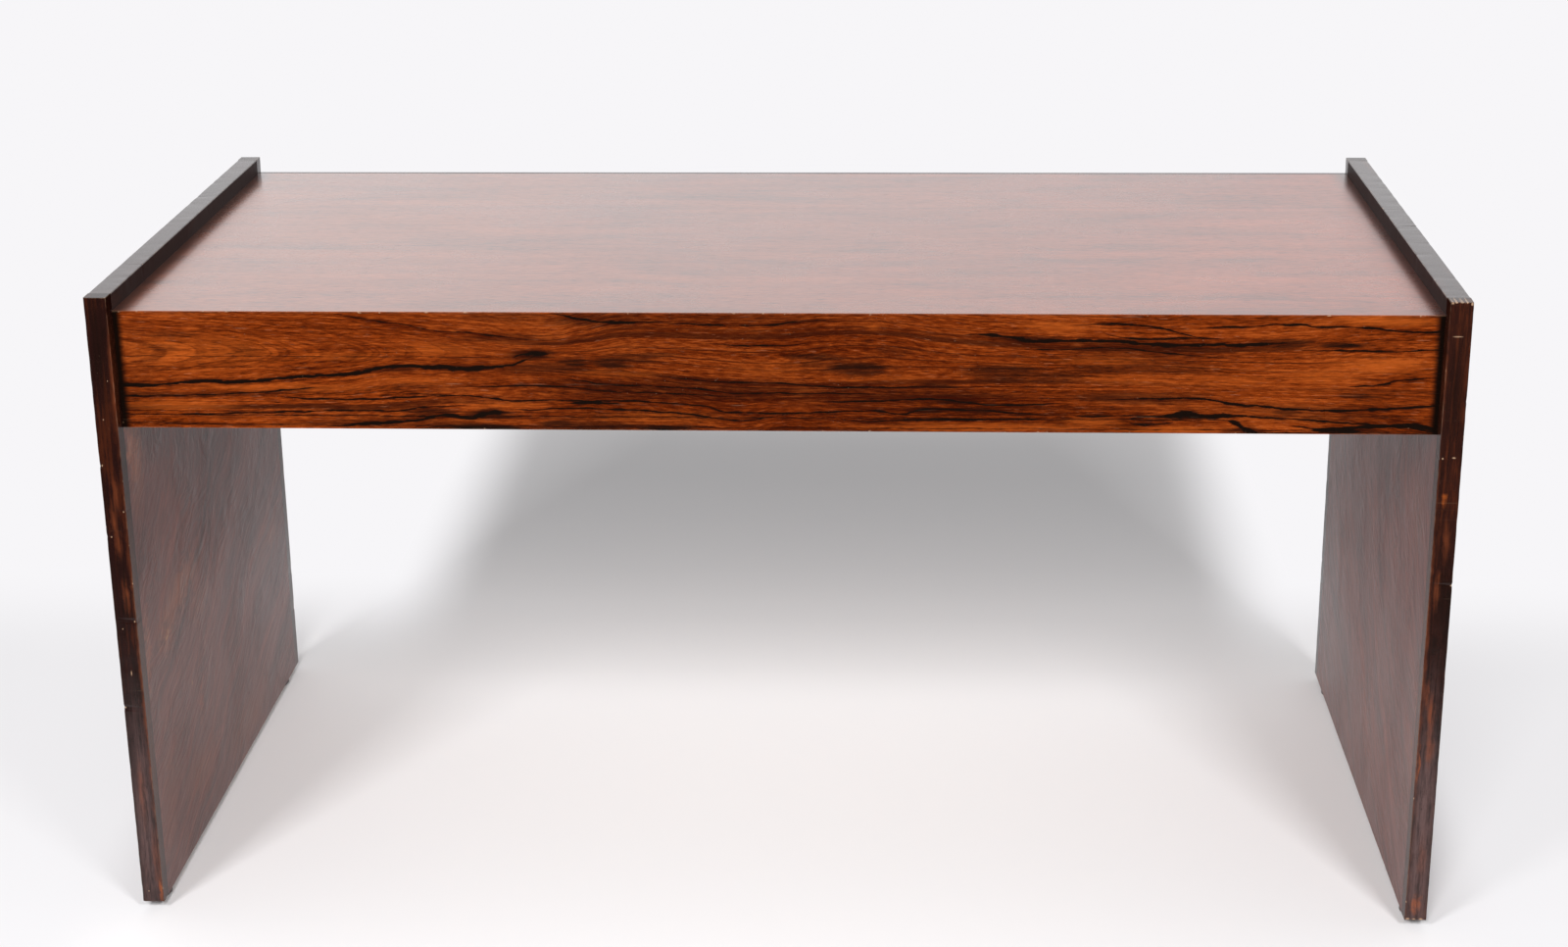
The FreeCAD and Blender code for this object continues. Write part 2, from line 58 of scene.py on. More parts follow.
class Signal:     # an output socket: sums and products with it place Math nodes
    def __init__(self, tree, socket):
        self.tree = tree
        self.socket = socket

    def __add__(self, other):
        return calc("ADD", self, other)

    def __sub__(self, other):
        return calc("SUBTRACT", self, other)

    def __rsub__(self, other):
        return calc("SUBTRACT", other, self)

    def __mul__(self, other):
        return calc("MULTIPLY", self, other)

    def __rmul__(self, other):
        return calc("MULTIPLY", other, self)

    def __truediv__(self, other):
        return calc("DIVIDE", self, other)

    def __abs__(self):
        return calc("ABSOLUTE", self)


origin = (0.0, 0.0, 0.0)


def metres(*values):     # from the millimetres of the rows below
    return tuple(value / 1000.0 for value in values)


def treeOf(*values):
    return next(value.tree for value in values if isinstance(value, Signal))


def feed(socket, value):
    if isinstance(value, Signal):
        value.tree.links.new(value.socket, socket)
    else:
        socket.default_value = (*value, 1.0) if socket.type == "RGBA" else value


def fill(node, inputs):
    for key, value in inputs.items():
        feed(node.inputs[key], value)


def place(tree, kind, inputs=None, **settings):
    node = tree.nodes.new(kind)
    for key, value in settings.items():
        setattr(node, key, value)
    fill(node, inputs or {})
    return node


def signalOf(tree, kind, inputs=None, output=0, **settings):
    return Signal(tree, place(tree, kind, inputs, **settings).outputs[output])


def calc(operation, *values):
    return signalOf(treeOf(*values), "ShaderNodeMath", dict(enumerate(values)), operation=operation)


def larger(first, second):
    return calc("MAXIMUM", first, second)


def smaller(first, second):
    return calc("MINIMUM", first, second)


def vecCalc(operation, *values):
    output = "Value" if operation in ("LENGTH", "DISTANCE") else "Vector"
    kind, inputs = "ShaderNodeVectorMath", dict(enumerate(values))
    return signalOf(treeOf(*values), kind, inputs, output, operation=operation)


def axes(vector):
    parts = place(vector.tree, "ShaderNodeSeparateXYZ", {"Vector": vector}).outputs
    return [Signal(vector.tree, socket) for socket in parts]


def joinAxes(x, y, z):
    return signalOf(treeOf(x, y, z), "ShaderNodeCombineXYZ", {"X": x, "Y": y, "Z": z})


def spread(value, low, high, toLow=0.0, toHigh=1.0):     # smooth step from low to high
    ends = dict(enumerate((value, low, high, toLow, toHigh)))
    return signalOf(value.tree, "ShaderNodeMapRange", ends, interpolation_type="SMOOTHSTEP", clamp=True)


def blendColour(factor, first, second, mode="MIX"):
    return signalOf(treeOf(factor, first, second), "ShaderNodeMix", {0: factor, 6: first, 7: second}, 2,
                    data_type="RGBA", blend_type=mode, clamp_factor=True)


def noise(vector, scale=1.0, detail=2.0, rough=0.5, distortion=0.0):
    return signalOf(vector.tree, "ShaderNodeTexNoise", {
        "Vector": vector, "Scale": scale, "Detail": detail, "Roughness": rough, "Distortion": distortion})


def lineNoise(value, detail=1.0, rough=0.5):
    return signalOf(value.tree, "ShaderNodeTexNoise", {
        "W": value, "Scale": 1.0, "Detail": detail, "Roughness": rough}, noise_dimensions="1D")


def stretched(vector, scale=(1.0, 1.0, 1.0), offset=origin, turn=origin):
    angles = [math.radians(angle) for angle in turn]
    return signalOf(vector.tree, "ShaderNodeMapping", {
        "Vector": vector, "Scale": scale, "Location": offset, "Rotation": angles})


def layer(vector, scale, offset=origin, detail=2.0, rough=0.5, distortion=0.0, turn=origin):
    return noise(stretched(vector, scale, offset, turn), 1.0, detail, rough, distortion)


toneStops = {"dark": 0.05, "mid": 0.5, "light": 0.95}     # places of a wood's three shades


def toneColour(tone, look):     # from dark to light wood
    node = place(tone.tree, "ShaderNodeValToRGB", {"Fac": tone})
    ramp = node.color_ramp
    ramp.interpolation = "EASE"
    ramp.elements.new(1.0)
    for element, (shade, position) in zip(ramp.elements, toneStops.items()):
        element.position = position
        element.color = (*look[shade], 1.0)
    return Signal(tone.tree, node.outputs[0])


def curveOf(value, points):
    node = place(value.tree, "ShaderNodeFloatCurve", {"Value": value})
    curve = node.mapping.curves[0]
    while len(curve.points) < len(points):
        curve.points.new(0.5, 0.5)
    for point, spot in zip(curve.points, points):
        point.location = spot
        point.handle_type = "AUTO_CLAMPED"
    node.mapping.extend = "HORIZONTAL"
    node.mapping.update()
    return Signal(value.tree, node.outputs[0])


def bumpOf(height, strength, distance):
    return signalOf(height.tree, "ShaderNodeBump", {
        "Height": height, "Strength": strength, "Distance": distance})


def newGroup(name, inputs, build):
    tree = bpy.data.node_groups.new(name, "ShaderNodeTree")
    for label, value in inputs.items():
        kind = "NodeSocketVector" if isinstance(value, tuple) else "NodeSocketFloat"
        tree.interface.new_socket(label, in_out="INPUT", socket_type=kind).default_value = value
    source = tree.nodes.new("NodeGroupInput")
    results = build({label: Signal(tree, source.outputs[label]) for label in inputs})
    for label in results:
        tree.interface.new_socket(label, in_out="OUTPUT", socket_type="NodeSocketFloat")
    fill(tree.nodes.new("NodeGroupOutput"), results)
    return tree


def useGroup(group, **values):
    tree = treeOf(*values.values())
    node = place(tree, "ShaderNodeGroup", values, node_tree=group)
    return {socket.name: Signal(tree, socket) for socket in node.outputs}


def newMaterial(name):
    material = bpy.data.materials.new(name)
    material.use_nodes = True
    tree = material.node_tree
    return material, tree.nodes["Principled BSDF"], signalOf(tree, "ShaderNodeTexCoord", output="Object")


# shared effects

timberLook = {
    "layers": {      # scale and offset, then detail, roughness and distortion of each noise
        "slow": ((1.3, 6.0, 6.0), origin), "quick": ((14.0, 60.0, 60.0), (3.1, 1.7, 0.4)),
        "gate": ((2.2, 9.0, 9.0), (5.0, 2.0, 8.0), 1.0),
        "dash": ((60.0, 1300.0, 1300.0), (0.3, 0.7, 0.1), 1.0),
        "streak": ((8.0, 380.0, 380.0), origin, 4.0, 0.65),
        "cloud": ((5.0, 20.0, 20.0), (9.0, 4.0, 1.0), 3.0, 0.55, 0.6),
        "fleck": ((38.0, 260.0, 260.0), (2.0, 6.0, 3.0), 4.0, 0.7, 0.3),
        "fine": ((75.0, 800.0, 800.0), (1.0, 3.0, 5.0), 3.0, 0.7),
    },
    "bend": 4.0, "ripple": 0.35, "bandNoise": (2.0, 0.6), "band": (0.28, 0.72),
    "lineScale": 0.31, "lineStart": 17.3, "line": (0.05, 0.006), "gate": (0.42, 0.6), "pore": (0.6, 0.72),
}


# solid timber: the vector's X runs along the pith, growth rings lie round it
def timberParts(ins):
    look, vector = timberLook, ins["Vector"]
    layers = {name: layer(vector, *entry) for name, entry in look["layers"].items()}
    radius = vecCalc("LENGTH", vecCalc("MULTIPLY", vector, (0.0, 1.0, 1.0)))
    bend = (layers["slow"] - 0.5) * (ins["Wave"] * look["bend"])
    ripple = (layers["quick"] - 0.5) * (ins["Wave"] * look["ripple"])
    count = (radius + (bend + ripple)) / ins["Pitch"]
    # ink lines stand where a slower noise of the rings crosses its middle
    slowLine = lineNoise(count * look["lineScale"] + look["lineStart"])
    line = spread(abs(slowLine - 0.5), *look["line"])
    return {
        "Band": spread(lineNoise(count, *look["bandNoise"]), *look["band"]),
        "Vein": line * ins["Ink"] * spread(layers["gate"], *look["gate"]),
        "Streak": layers["streak"],
        "Pore": spread(layers["dash"], *look["pore"]) * ins["Pores"],
        "Cloud": layers["cloud"], "Fleck": layers["fleck"], "Fine": layers["fine"],
    }


# noises of the rubbed width and of small bites, and the limits that they are spread between
wearLook = {"rub": (55.0, 3.0, 0.6), "reach": (0.3, 0.75, 0.25, 1.6), "edge": (0.25, 1.0),
            "bite": (190.0, 1.0, 0.5), "bites": (0.7, 0.76), "near": (0.5, 1.3)}


# edges of a square board, found from its two corners
def wearParts(ins):
    look, vector = wearLook, ins["Vector"]
    fromLow, fromHigh = vecCalc("SUBTRACT", vector, ins["Low"]), vecCalc("SUBTRACT", ins["High"], vector)
    a, b, c = axes(vecCalc("MINIMUM", fromLow, fromHigh))
    middle = larger(smaller(a, b), smaller(larger(a, b), c))
    reach = ins["Width"] * spread(noise(vector, *look["rub"]), *look["reach"])
    bite = spread(noise(vector, *look["bite"]), *look["bites"])
    return {"Edge": 1.0 - spread(middle / reach, *look["edge"]),
            "Nick": bite * (1.0 - spread(middle / ins["Width"], *look["near"]))}


handlingLook = {
    "cloth": (5.5, 4.0, 0.55, 0.4), "cloths": (0.35, 0.7), "place": (21.0, 1.0), "places": (0.52, 0.66),
    "scratches": [((3.0, 520.0, 520.0), (17.0, 9.0, 24.0), (0.78, 0.84)),     # scale, turn and limits
                  ((480.0, 4.0, 480.0), (31.0, 12.0, 12.0), (0.79, 0.85))],
}


# what hands and cloths leave on a polished surface
def handlingParts(ins):
    look, vector = handlingLook, ins["Vector"]
    first, second = (spread(layer(vector, scale, detail=0.0, turn=turn), *limits)
                     for scale, turn, limits in look["scratches"])
    here = spread(noise(vector, *look["place"]), *look["places"])
    return {"Smudge": spread(noise(vector, *look["cloth"]), *look["cloths"]),
            "Scratch": larger(first, second) * here}


# one soft oval mark at a given place
def ovalParts(ins):
    away = vecCalc("DIVIDE", vecCalc("SUBTRACT", ins["Vector"], ins["Centre"]), ins["Size"])
    return {"Mark": 1.0 - spread(vecCalc("LENGTH", away), ins["Core"], 1.0)}


timberGrain = newGroup("timberGrain", {
    "Vector": origin, "Pitch": 0.006, "Wave": 0.01, "Ink": 0.5, "Pores": 0.6}, timberParts)
boardWear = newGroup("boardWear", {
    "Vector": origin, "Low": origin, "High": (1.0, 1.0, 1.0), "Width": 0.0015}, wearParts)
handling = newGroup("handling", {"Vector": origin}, handlingParts)
ovalMark = newGroup("ovalMark", {
    "Vector": origin, "Centre": origin, "Size": (1.0, 1.0, 1.0), "Core": 0.3}, ovalParts)
print("shared effects ready")


def oval(vector, centre, size, core):
    return useGroup(ovalMark, Vector=vector, Centre=centre, Size=size, Core=core)["Mark"]


# rosewood boards

rosewoodBase = {
    "turn": origin, "pith": (0.0, 0.9, 0.35), "pitch": 0.006, "wave": 0.01, "ink": 0.5, "pores": 0.6,
    "dark": (0.075, 0.014, 0.005), "mid": (0.19, 0.036, 0.009), "light": (0.30, 0.066, 0.016),
    "inkColour": (0.012, 0.005, 0.004), "bare": (0.42, 0.27, 0.17), "poreInk": 0.55, "rub": 0.5,
    "band": 1.0, "streak": 0.35, "cloud": 0.3, "fleck": 0.2, "fine": 0.0,
    "wearWidth": 0.0014, "wear": 0.35, "nicks": 0.6, "smudge": 0.06, "scratch": 0.16,
    "ragged": (60.0, 3.0, 0.65), "waver": 0.016, "waverAlong": 0.2, "threads": (0.36, 0.6), "thread": 0.6,
    "core": 0.1, "bareCore": 0.35,
    "rough": 0.3, "poreRough": 0.12, "bareRough": 0.3, "specular": 0.5,
    "coat": 0.0, "coatRamps": (), "coatRough": 0.2, "coatIor": 1.5,
    "bump": 0.12, "bumpStep": 0.0006, "poreDepth": 0.8, "streakRise": 0.35, "scratchDepth": 2.5,
    "relief": 0.0, "wrinkle": ((45.0, 38.0, 38.0), origin, 2.5, 0.6, 1.2), "crease": 0.5,
    "creaseWidth": (0.035, 0.006), "wrinkled": (11.0, 2.0), "wrinkledFrom": (0.45, 0.6), "swell": (0.6, 0.5),
    "joined": (origin, origin),     # reach past the sides where a neighbour covers the edge
}
# the haze tint is a painted reflection of the pale floor
patchTints = {"ember": (0.27, 0.062, 0.012), "amber": (0.25, 0.074, 0.028), "rust": (0.15, 0.038, 0.014),
              "ink": (0.008, 0.003, 0.002), "hazeAndReflection": (0.125, 0.070, 0.066)}


def rosewood(nodeName, look, figure=None, flow=None, patches=()):
    look = {**rosewoodBase, **look}
    material, shader, coords = newMaterial(nodeName + "Rosewood")
    fibres, inkShare = flow(coords) if flow else (coords, 1.0)
    timber = stretched(fibres, offset=look["pith"], turn=look["turn"])
    grain = useGroup(timberGrain, Vector=timber, Pitch=look["pitch"], Wave=look["wave"],
                     Ink=inkShare * look["ink"], Pores=look["pores"])
    low, high = (Vector(corner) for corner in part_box(nodeName))
    before, after = (Vector(reach) for reach in look["joined"])
    wear = useGroup(boardWear, Vector=coords, Low=tuple(low - before), High=tuple(high + after),
                    Width=look["wearWidth"])
    marks = useGroup(handling, Vector=coords)
    tone = grain["Band"] * look["band"] + (0.5 - look["band"] / 2.0)
    for source in ("cloud", "streak", "fleck", "fine"):
        tone = (grain[source.capitalize()] - 0.5) * (look[source] * 2.0) + tone
    colour = blendColour(grain["Vein"], toneColour(tone, look), look["inkColour"])
    if figure:
        colour = figure(coords, timber, grain, colour, look)
    # patches have ragged outlines, broken up by the fibres
    ragged = (noise(coords, *look["ragged"]) - 0.5) * look["waver"]
    loose = vecCalc("ADD", coords, joinAxes(ragged * look["waverAlong"], ragged, ragged))
    bare = wear["Nick"] * look["nicks"]
    thread = spread((grain["Streak"] + grain["Fleck"]) * 0.5, *look["threads"], look["thread"], 1.0)
    for tint, centre, size, strength in patches:
        if tint == "bare":
            bare = larger(bare, oval(coords, centre, size, look["bareCore"]) * strength)
        else:
            share = oval(loose, centre, size, look["core"]) * strength * thread
            colour = blendColour(share, colour, patchTints[tint])
    colour = blendColour(grain["Pore"] * look["poreInk"], colour, look["inkColour"])
    height = grain["Pore"] * -look["poreDepth"] + grain["Streak"] * look["streakRise"]
    height = marks["Scratch"] * (-look["scratchDepth"] * look["scratch"]) + height - bare
    if look["relief"]:     # old veneer that has shrunk into wrinkles
        wrinkle = layer(timber, *look["wrinkle"])
        here = spread(noise(coords, *look["wrinkled"]), *look["wrinkledFrom"])
        crease = spread(abs(wrinkle - 0.5), *look["creaseWidth"]) * here * look["crease"]
        colour = blendColour(crease, colour, look["inkColour"])
        more, always = (share * look["relief"] for share in look["swell"])
        height = wrinkle * (here * more + always) + height
    rubbed = blendColour(look["rub"], colour, look["bare"])
    colour = blendColour(wear["Edge"] * look["wear"], colour, rubbed)
    for share in (bare, marks["Scratch"] * look["scratch"]):
        colour = blendColour(share, colour, look["bare"])
    polish = 0.0 if look["coatRamps"] else 1.0
    for axis, start, stop in look["coatRamps"]:     # polish lies where any of the ramps is full
        polish = larger(spread(axes(coords)[axis], start, stop), polish)
    rough = marks["Smudge"] * look["smudge"] + look["rough"]
    fill(shader, {
        "Base Color": colour, "Normal": bumpOf(height, look["bump"], look["bumpStep"]),
        "Roughness": rough + grain["Pore"] * look["poreRough"] + bare * look["bareRough"],
        "Specular IOR Level": look["specular"], "Coat Weight": polish * look["coat"],
        "Coat Roughness": look["coatRough"], "Coat IOR": look["coatIor"],
    })
    return material


def dress(nodeName, material):
    mesh = nodes[nodeName].data
    mesh.materials.clear()
    mesh.materials.append(material)


# the fascia's figure: millimetres from its left end and from its bottom edge
fasciaFigure = {
    "veins": [     # half width, strength, points along the line
        (2.2, 1.0, [(0, 49), (47, 50), (86, 54), (130, 54), (180, 58), (211, 61), (242, 62), (268, 65),
            (293, 70), (320, 73), (350, 73), (383, 71), (408, 72), (429, 73), (450, 79), (470, 87)]),
        (1.0, 0.8, [(0, 37), (74, 38), (142, 41), (200, 46), (240, 49)]),
        (1.0, 0.9, [(163, 38), (232, 34), (284, 35), (381, 39), (420, 36), (445, 33), (489, 34), (525, 34),
            (591, 33), (617, 31), (652, 28), (683, 21), (739, 21), (782, 22), (837, 24), (867, 21),
            (882, 24), (903, 27), (928, 26), (953, 25), (989, 23), (1014, 21), (1036, 18)]),
        (1.0, 0.7, [(297, 42), (328, 41), (392, 39)]),
        (1.0, 0.9, [(46, 15), (109, 17), (187, 19), (244, 21), (309, 21), (335, 25), (391, 28)]),
        (2.1, 0.9, [(225, 2), (277, 6), (329, 10), (366, 16), (391, 13), (403, 16), (426, 19)]),
        (1.0, 0.6, [(241, 133), (290, 125), (317, 121), (363, 113), (396, 111), (468, 103)]),
        (2.0, 0.7, [(482, 134), (518, 128), (548, 124), (583, 124), (609, 126)]),
        (1.0, 0.8, [(600, 124), (652, 122), (689, 121), (722, 121), (750, 125), (800, 129)]),
        (1.0, 1.0, [(427, 23), (460, 23), (488, 25), (560, 24), (611, 21), (637, 19), (662, 15), (690, 12),
            (711, 14), (744, 21)]),
        (1.1, 0.6, [(479, 59), (515, 57), (541, 53), (602, 51), (650, 48), (688, 44), (782, 44),
            (850, 43)]),
        (1.0, 0.6, [(382, 50), (433, 50), (466, 51), (545, 45), (612, 43), (690, 39)]),
        (1.1, 0.6, [(592, 65), (627, 60), (663, 56), (739, 55), (771, 52), (847, 51), (897, 52),
            (920, 55)]),
        (1.0, 0.5, [(651, 100), (714, 98), (770, 101)]),
        (2.1, 1.0, [(932, 112), (967, 111), (990, 108), (1012, 105), (1042, 105), (1097, 105), (1128, 102),
            (1167, 101), (1218, 101), (1248, 102), (1289, 104)]),
        (1.2, 0.9, [(1054, 123), (1084, 124), (1128, 122), (1153, 118), (1174, 113), (1192, 109),
            (1212, 108)]),
        (1.2, 0.8, [(1082, 115), (1104, 110), (1141, 107), (1174, 109), (1200, 108)]),
        (1.0, 0.5, [(982, 96), (1022, 95), (1097, 97), (1135, 94), (1164, 90), (1230, 86)]),
        (1.1, 0.9, [(771, 34), (822, 35), (862, 36), (892, 38), (913, 37), (935, 34), (981, 31), (1024, 33),
            (1049, 34)]),
        (1.0, 1.0, [(791, 21), (799, 14), (817, 12), (872, 13), (928, 14), (986, 15), (1024, 15),
            (1036, 18)]),
        (1.0, 0.9, [(1037, 21), (1074, 19), (1112, 20), (1165, 19), (1195, 20), (1234, 20), (1262, 19),
            (1298, 17), (1337, 14), (1376, 11), (1401, 10), (1432, 6), (1450, 3)]),
        (1.9, 1.0, [(1165, 17), (1195, 19), (1234, 20), (1262, 18)]),
        (1.1, 1.0, [(1112, 14), (1126, 18), (1144, 19), (1160, 18), (1167, 14)]),
        (1.1, 1.0, [(1112, 14), (1117, 11), (1131, 10), (1155, 11), (1167, 14)]),
        (1.1, 1.0, [(1184, 119), (1217, 121), (1247, 122), (1272, 124), (1298, 124), (1313, 121),
            (1344, 122), (1369, 121), (1394, 118), (1420, 116), (1450, 117)]),
        (1.1, 0.8, [(1294, 96), (1320, 95), (1358, 95), (1396, 94), (1421, 95), (1450, 97)]),
        (1.3, 0.9, [(1348, 54), (1386, 57), (1398, 60), (1423, 63), (1443, 65)]),
        (1.5, 0.8, [(1092, 39), (1177, 40), (1236, 33), (1272, 30), (1298, 28), (1349, 27), (1387, 29),
            (1450, 33)]),
        (3.4, 1.0, [(1222, 16), (1235, 10), (1243, 5), (1256, 1)]),
        (3.8, 1.0, [(1146, 20), (1175, 21), (1200, 20), (1230, 21)]),
        (2.6, 0.9, [(1290, 9), (1330, 6), (1375, 8), (1420, 10), (1450, 6)]),
        (3.6, 0.9, [(1312, 4), (1340, 5), (1368, 3)]),
        (2.6, 0.8, [(440, 83), (462, 88), (482, 88)]),
        (3.2, 0.9, [(325, 71), (352, 72), (383, 70), (425, 74)]),
        (2.2, 0.7, [(496, 31), (525, 32), (560, 30)]),
        (3.0, 0.9, [(392, 15), (412, 18), (430, 20)]),
    ],
    "softLines": [     # broad brown lines without a black core
        (3.0, 0.5, [(32, 61), (135, 78), (175, 82), (205, 89)]),
        (3.2, 0.55, [(90, 117), (153, 108), (185, 99), (206, 90)]),
        (2.6, 0.4, [(222, 77), (287, 79), (309, 88)]),
        (3.4, 0.5, [(205, 125), (250, 108), (290, 96), (310, 89)]),
        (3.5, 0.6, [(241, 131), (290, 124), (363, 112), (396, 110), (468, 103)]),
        (3.0, 0.6, [(479, 59), (541, 53), (602, 51), (688, 44), (782, 44), (850, 43)]),
        (3.0, 0.55, [(382, 50), (466, 51), (545, 45), (612, 43), (690, 39)]),
        (3.0, 0.55, [(592, 65), (663, 56), (771, 52), (897, 52), (920, 55)]),
        (3.0, 0.6, [(560, 40), (690, 34), (840, 40), (1049, 36)]),
        (3.5, 0.45, [(982, 98), (1022, 97), (1097, 99), (1164, 93), (1260, 90), (1330, 92)]),
        (3.0, 0.4, [(1040, 92), (1100, 90), (1180, 82), (1250, 80)]),
        (3.0, 0.45, [(1092, 44), (1177, 46), (1240, 38), (1300, 33)]),
        (3.0, 0.4, [(640, 104), (700, 100), (790, 104)]),
        (3.0, 0.4, [(20, 30), (120, 28), (260, 28), (380, 33)]),
    ],
    "smudges": [     # centre, half length, half height, strength
        (463, 87, 26, 7, 1.0), (506, 78, 17, 5, 0.85), (549, 77, 22, 7, 0.9), (575, 82, 30, 6, 0.6),
        (603, 87, 26, 3, 0.6), (770, 86, 34, 4, 0.8), (772, 77, 14, 4, 0.5), (412, 18, 26, 6, 1.0),
        (400, 3, 60, 4, 1.0), (525, 4, 60, 7, 0.8), (610, 3, 45, 4, 1.0), (817, 73, 38, 9, 0.85),
        (862, 93, 26, 6, 0.4), (980, 69, 50, 9, 0.7), (1038, 64, 36, 7, 0.6), (1085, 72, 40, 6, 0.45),
        (52, 93, 18, 6, 0.4), (62, 108, 28, 4, 0.4), (147, 90, 16, 5, 0.3), (30, 84, 24, 4, 0.3),
        (120, 14, 20, 4, 0.4), (908, 53, 26, 3, 0.9), (779, 86, 18, 3, 0.9), (924, 35, 26, 4, 0.9),
        (896, 25, 24, 4, 0.9), (948, 25, 24, 3, 0.9), (1344, 101, 28, 4, 1.0), (1279, 103, 34, 5, 0.75),
        (1150, 75, 60, 8, 0.5), (1363, 44, 22, 4, 0.7), (1350, 4, 36, 4, 1.0), (1188, 19, 40, 4, 0.9),
        (1010, 106, 40, 4, 0.9), (430, 106, 55, 5, 0.5), (1330, 20, 60, 8, 0.4), (20, 60, 30, 60, 0.25),
        (640, 47, 170, 14, 0.55), (820, 42, 160, 11, 0.45), (1130, 40, 80, 8, 0.7),
        (1130, 94, 90, 12, 0.45), (540, 126, 70, 8, 0.6), (690, 128, 120, 6, 0.35), (1300, 28, 100, 6, 0.4),
        (300, 8, 90, 6, 0.5), (389, 70, 30, 4, 0.8), (311, 70, 28, 3.5, 0.8), (350, 20, 30, 5, 0.8),
        (443, 130, 55, 5, 0.45), (350, 48, 60, 6, 0.35), (1241, 3, 25, 5, 0.8), (1287, 25, 22, 4, 0.8),
        (470, 71, 50, 7, 0.6), (490, 6, 25, 5, 0.9),
    ],
    "warm": [     # brighter ground between the lines
        (598, 16, 90, 7, 0.9), (432, 28, 45, 4, 0.8), (561, 66, 60, 6, 0.5), (727, 72, 60, 10, 0.4),
        (948, 6, 160, 5, 0.9), (1075, 13, 34, 5, 0.8), (1034, 121, 40, 7, 0.7), (1085, 83, 60, 7, 0.4),
        (840, 62, 60, 7, 0.4), (1157, 4, 60, 4, 0.9), (1394, 128, 60, 6, 1.0), (1384, 79, 60, 10, 0.7),
        (1321, 66, 40, 9, 0.5), (1117, 62, 50, 7, 0.4), (835, 120, 9, 5, 1.0), (100, 88, 90, 22, 0.7),
        (250, 84, 55, 6, 0.6), (180, 48, 120, 5, 0.6), (60, 26, 70, 7, 0.6), (360, 92, 50, 10, 0.6),
        (1220, 60, 60, 8, 0.4), (330, 56, 60, 6, 0.5),
    ],
    "fibres": [     # level height, then the places of one fibre
        (18, [(0, 14), (190, 19), (310, 21), (390, 27), (490, 25), (610, 21), (690, 13), (745, 19),
            (870, 14), (1036, 18), (1262, 19), (1337, 14), (1450, 4)]),
        (58, [(0, 49), (130, 54), (242, 62), (330, 72), (430, 73), (520, 68), (600, 62), (663, 56),
            (771, 52), (897, 52), (1100, 50), (1300, 45), (1450, 45)]),
        (113, [(0, 122), (200, 118), (300, 116), (390, 111), (468, 104), (520, 112), (583, 122), (720, 121),
            (800, 125), (932, 112), (990, 108), (1128, 102), (1218, 101), (1289, 104), (1369, 112),
            (1450, 115)]),
    ],
    "shadeAlong": [(0, 0.05), (290, 0.1), (450, 0.42), (620, 0.6), (800, 0.6), (950, 0.45), (1120, 0.25),
        (1300, 0.15), (1450, 0.2)],
    "arches": {
        "axis": 88.0, "curl": 0.18, "pitch": 46.0, "until": (480.0, 330.0), "above": (60.0, 74.0),
        "waver": 18.0, "rings": (2.0, 0.6), "line": 0.5, "lineWidth": (0.06, 0.0), "band": 0.42,
        "bands": (0.6, 0.35)},
    "length": 1.45, "height": 0.135, "left": -0.725, "bottom": 0.595,
    "waver": ((30.0, 30.0, 90.0), origin, 3.0, 0.6), "waverReach": 0.0045,
    "breakUp": ((45.0, 45.0, 160.0), (1.0, 5.0, 2.0), 2.0, 0.6), "breaks": (0.3, 0.7, 0.45, 1.5),
    "drift": ((22.0, 22.0, 130.0), (4.0, 2.0, 1.0), 3.0, 0.65), "driftReach": 0.008, "slideReach": 0.05,
    "taper": 60.0, "taperShare": 0.35, "thin": 0.02, "veinFading": 0.6, "softFading": 2.0,
    "sharpInk": (1.2, 0.7), "halo": (4.5, 0.7), "haloDepth": 0.5, "softReach": (2.0, 0.2),
    "patchGrowth": 1.35, "warmCore": 0.15, "warmDepth": 0.85, "warmThreads": (0.3, 0.6, 0.55, 1.0),
    "smudgeCore": 0.38, "smudgeThreads": (0.62, 0.4, 0.7, 1.0), "fibre": (0.65, 0.35, 0.55, 1.0),
    # the last is painted shade in the corners where the fascia meets the ends
    "glow": (0.40, 0.080, 0.010), "shade": (0.034, 0.003, 0.0006), "paintedCornerShade": (0.012, 0.003),
}
# both in millimetres, like the rows
fasciaLength, fasciaHeight = fasciaFigure["length"] * 1000.0, fasciaFigure["height"] * 1000.0
fasciaMarks = {"dashScale": (55.0, 620.0, 620.0), "dashFrom": (0.63, 0.72), "dash": 0.4,
               "dashColour": (0.42, 0.15, 0.07)}
dashNoise = ((0.4, 0.2, 0.1), 2.0, 0.6)     # offset, detail and roughness


# short dashes along the fibres
def drawDashes(timber, marks, colour):
    dashes = spread(layer(timber, marks["dashScale"], *dashNoise), *marks["dashFrom"])
    return blendColour(dashes * marks["dash"], colour, marks["dashColour"])


# share of the fascia's length, and millimetres above its bottom edge
def fasciaPlace(x, z):
    return (x - fasciaFigure["left"]) / fasciaFigure["length"], (z - fasciaFigure["bottom"]) * 1000.0


def fasciaCurve(along, points):
    return curveOf(along, [(x / fasciaLength, z / fasciaHeight) for x, z in points])


def archShare(along, rise):
    arches = fasciaFigure["arches"]
    return spread(along * fasciaLength, *arches["until"]) * spread(rise, *arches["above"])


def followFascia(coords):
    fibres = fasciaFigure["fibres"]
    x, y, z = axes(coords)
    along, rise = fasciaPlace(x, z)
    bends = [fasciaCurve(along, points) * fasciaHeight - level for level, points in fibres]
    total = bends[0]
    for index in range(1, len(fibres)):
        share = spread(rise, fibres[index - 1][0], fibres[index][0])
        total = (bends[index] - bends[index - 1]) * share + total
    return joinAxes(x, y, total * -0.001 + z), 1.0 - archShare(along, rise)


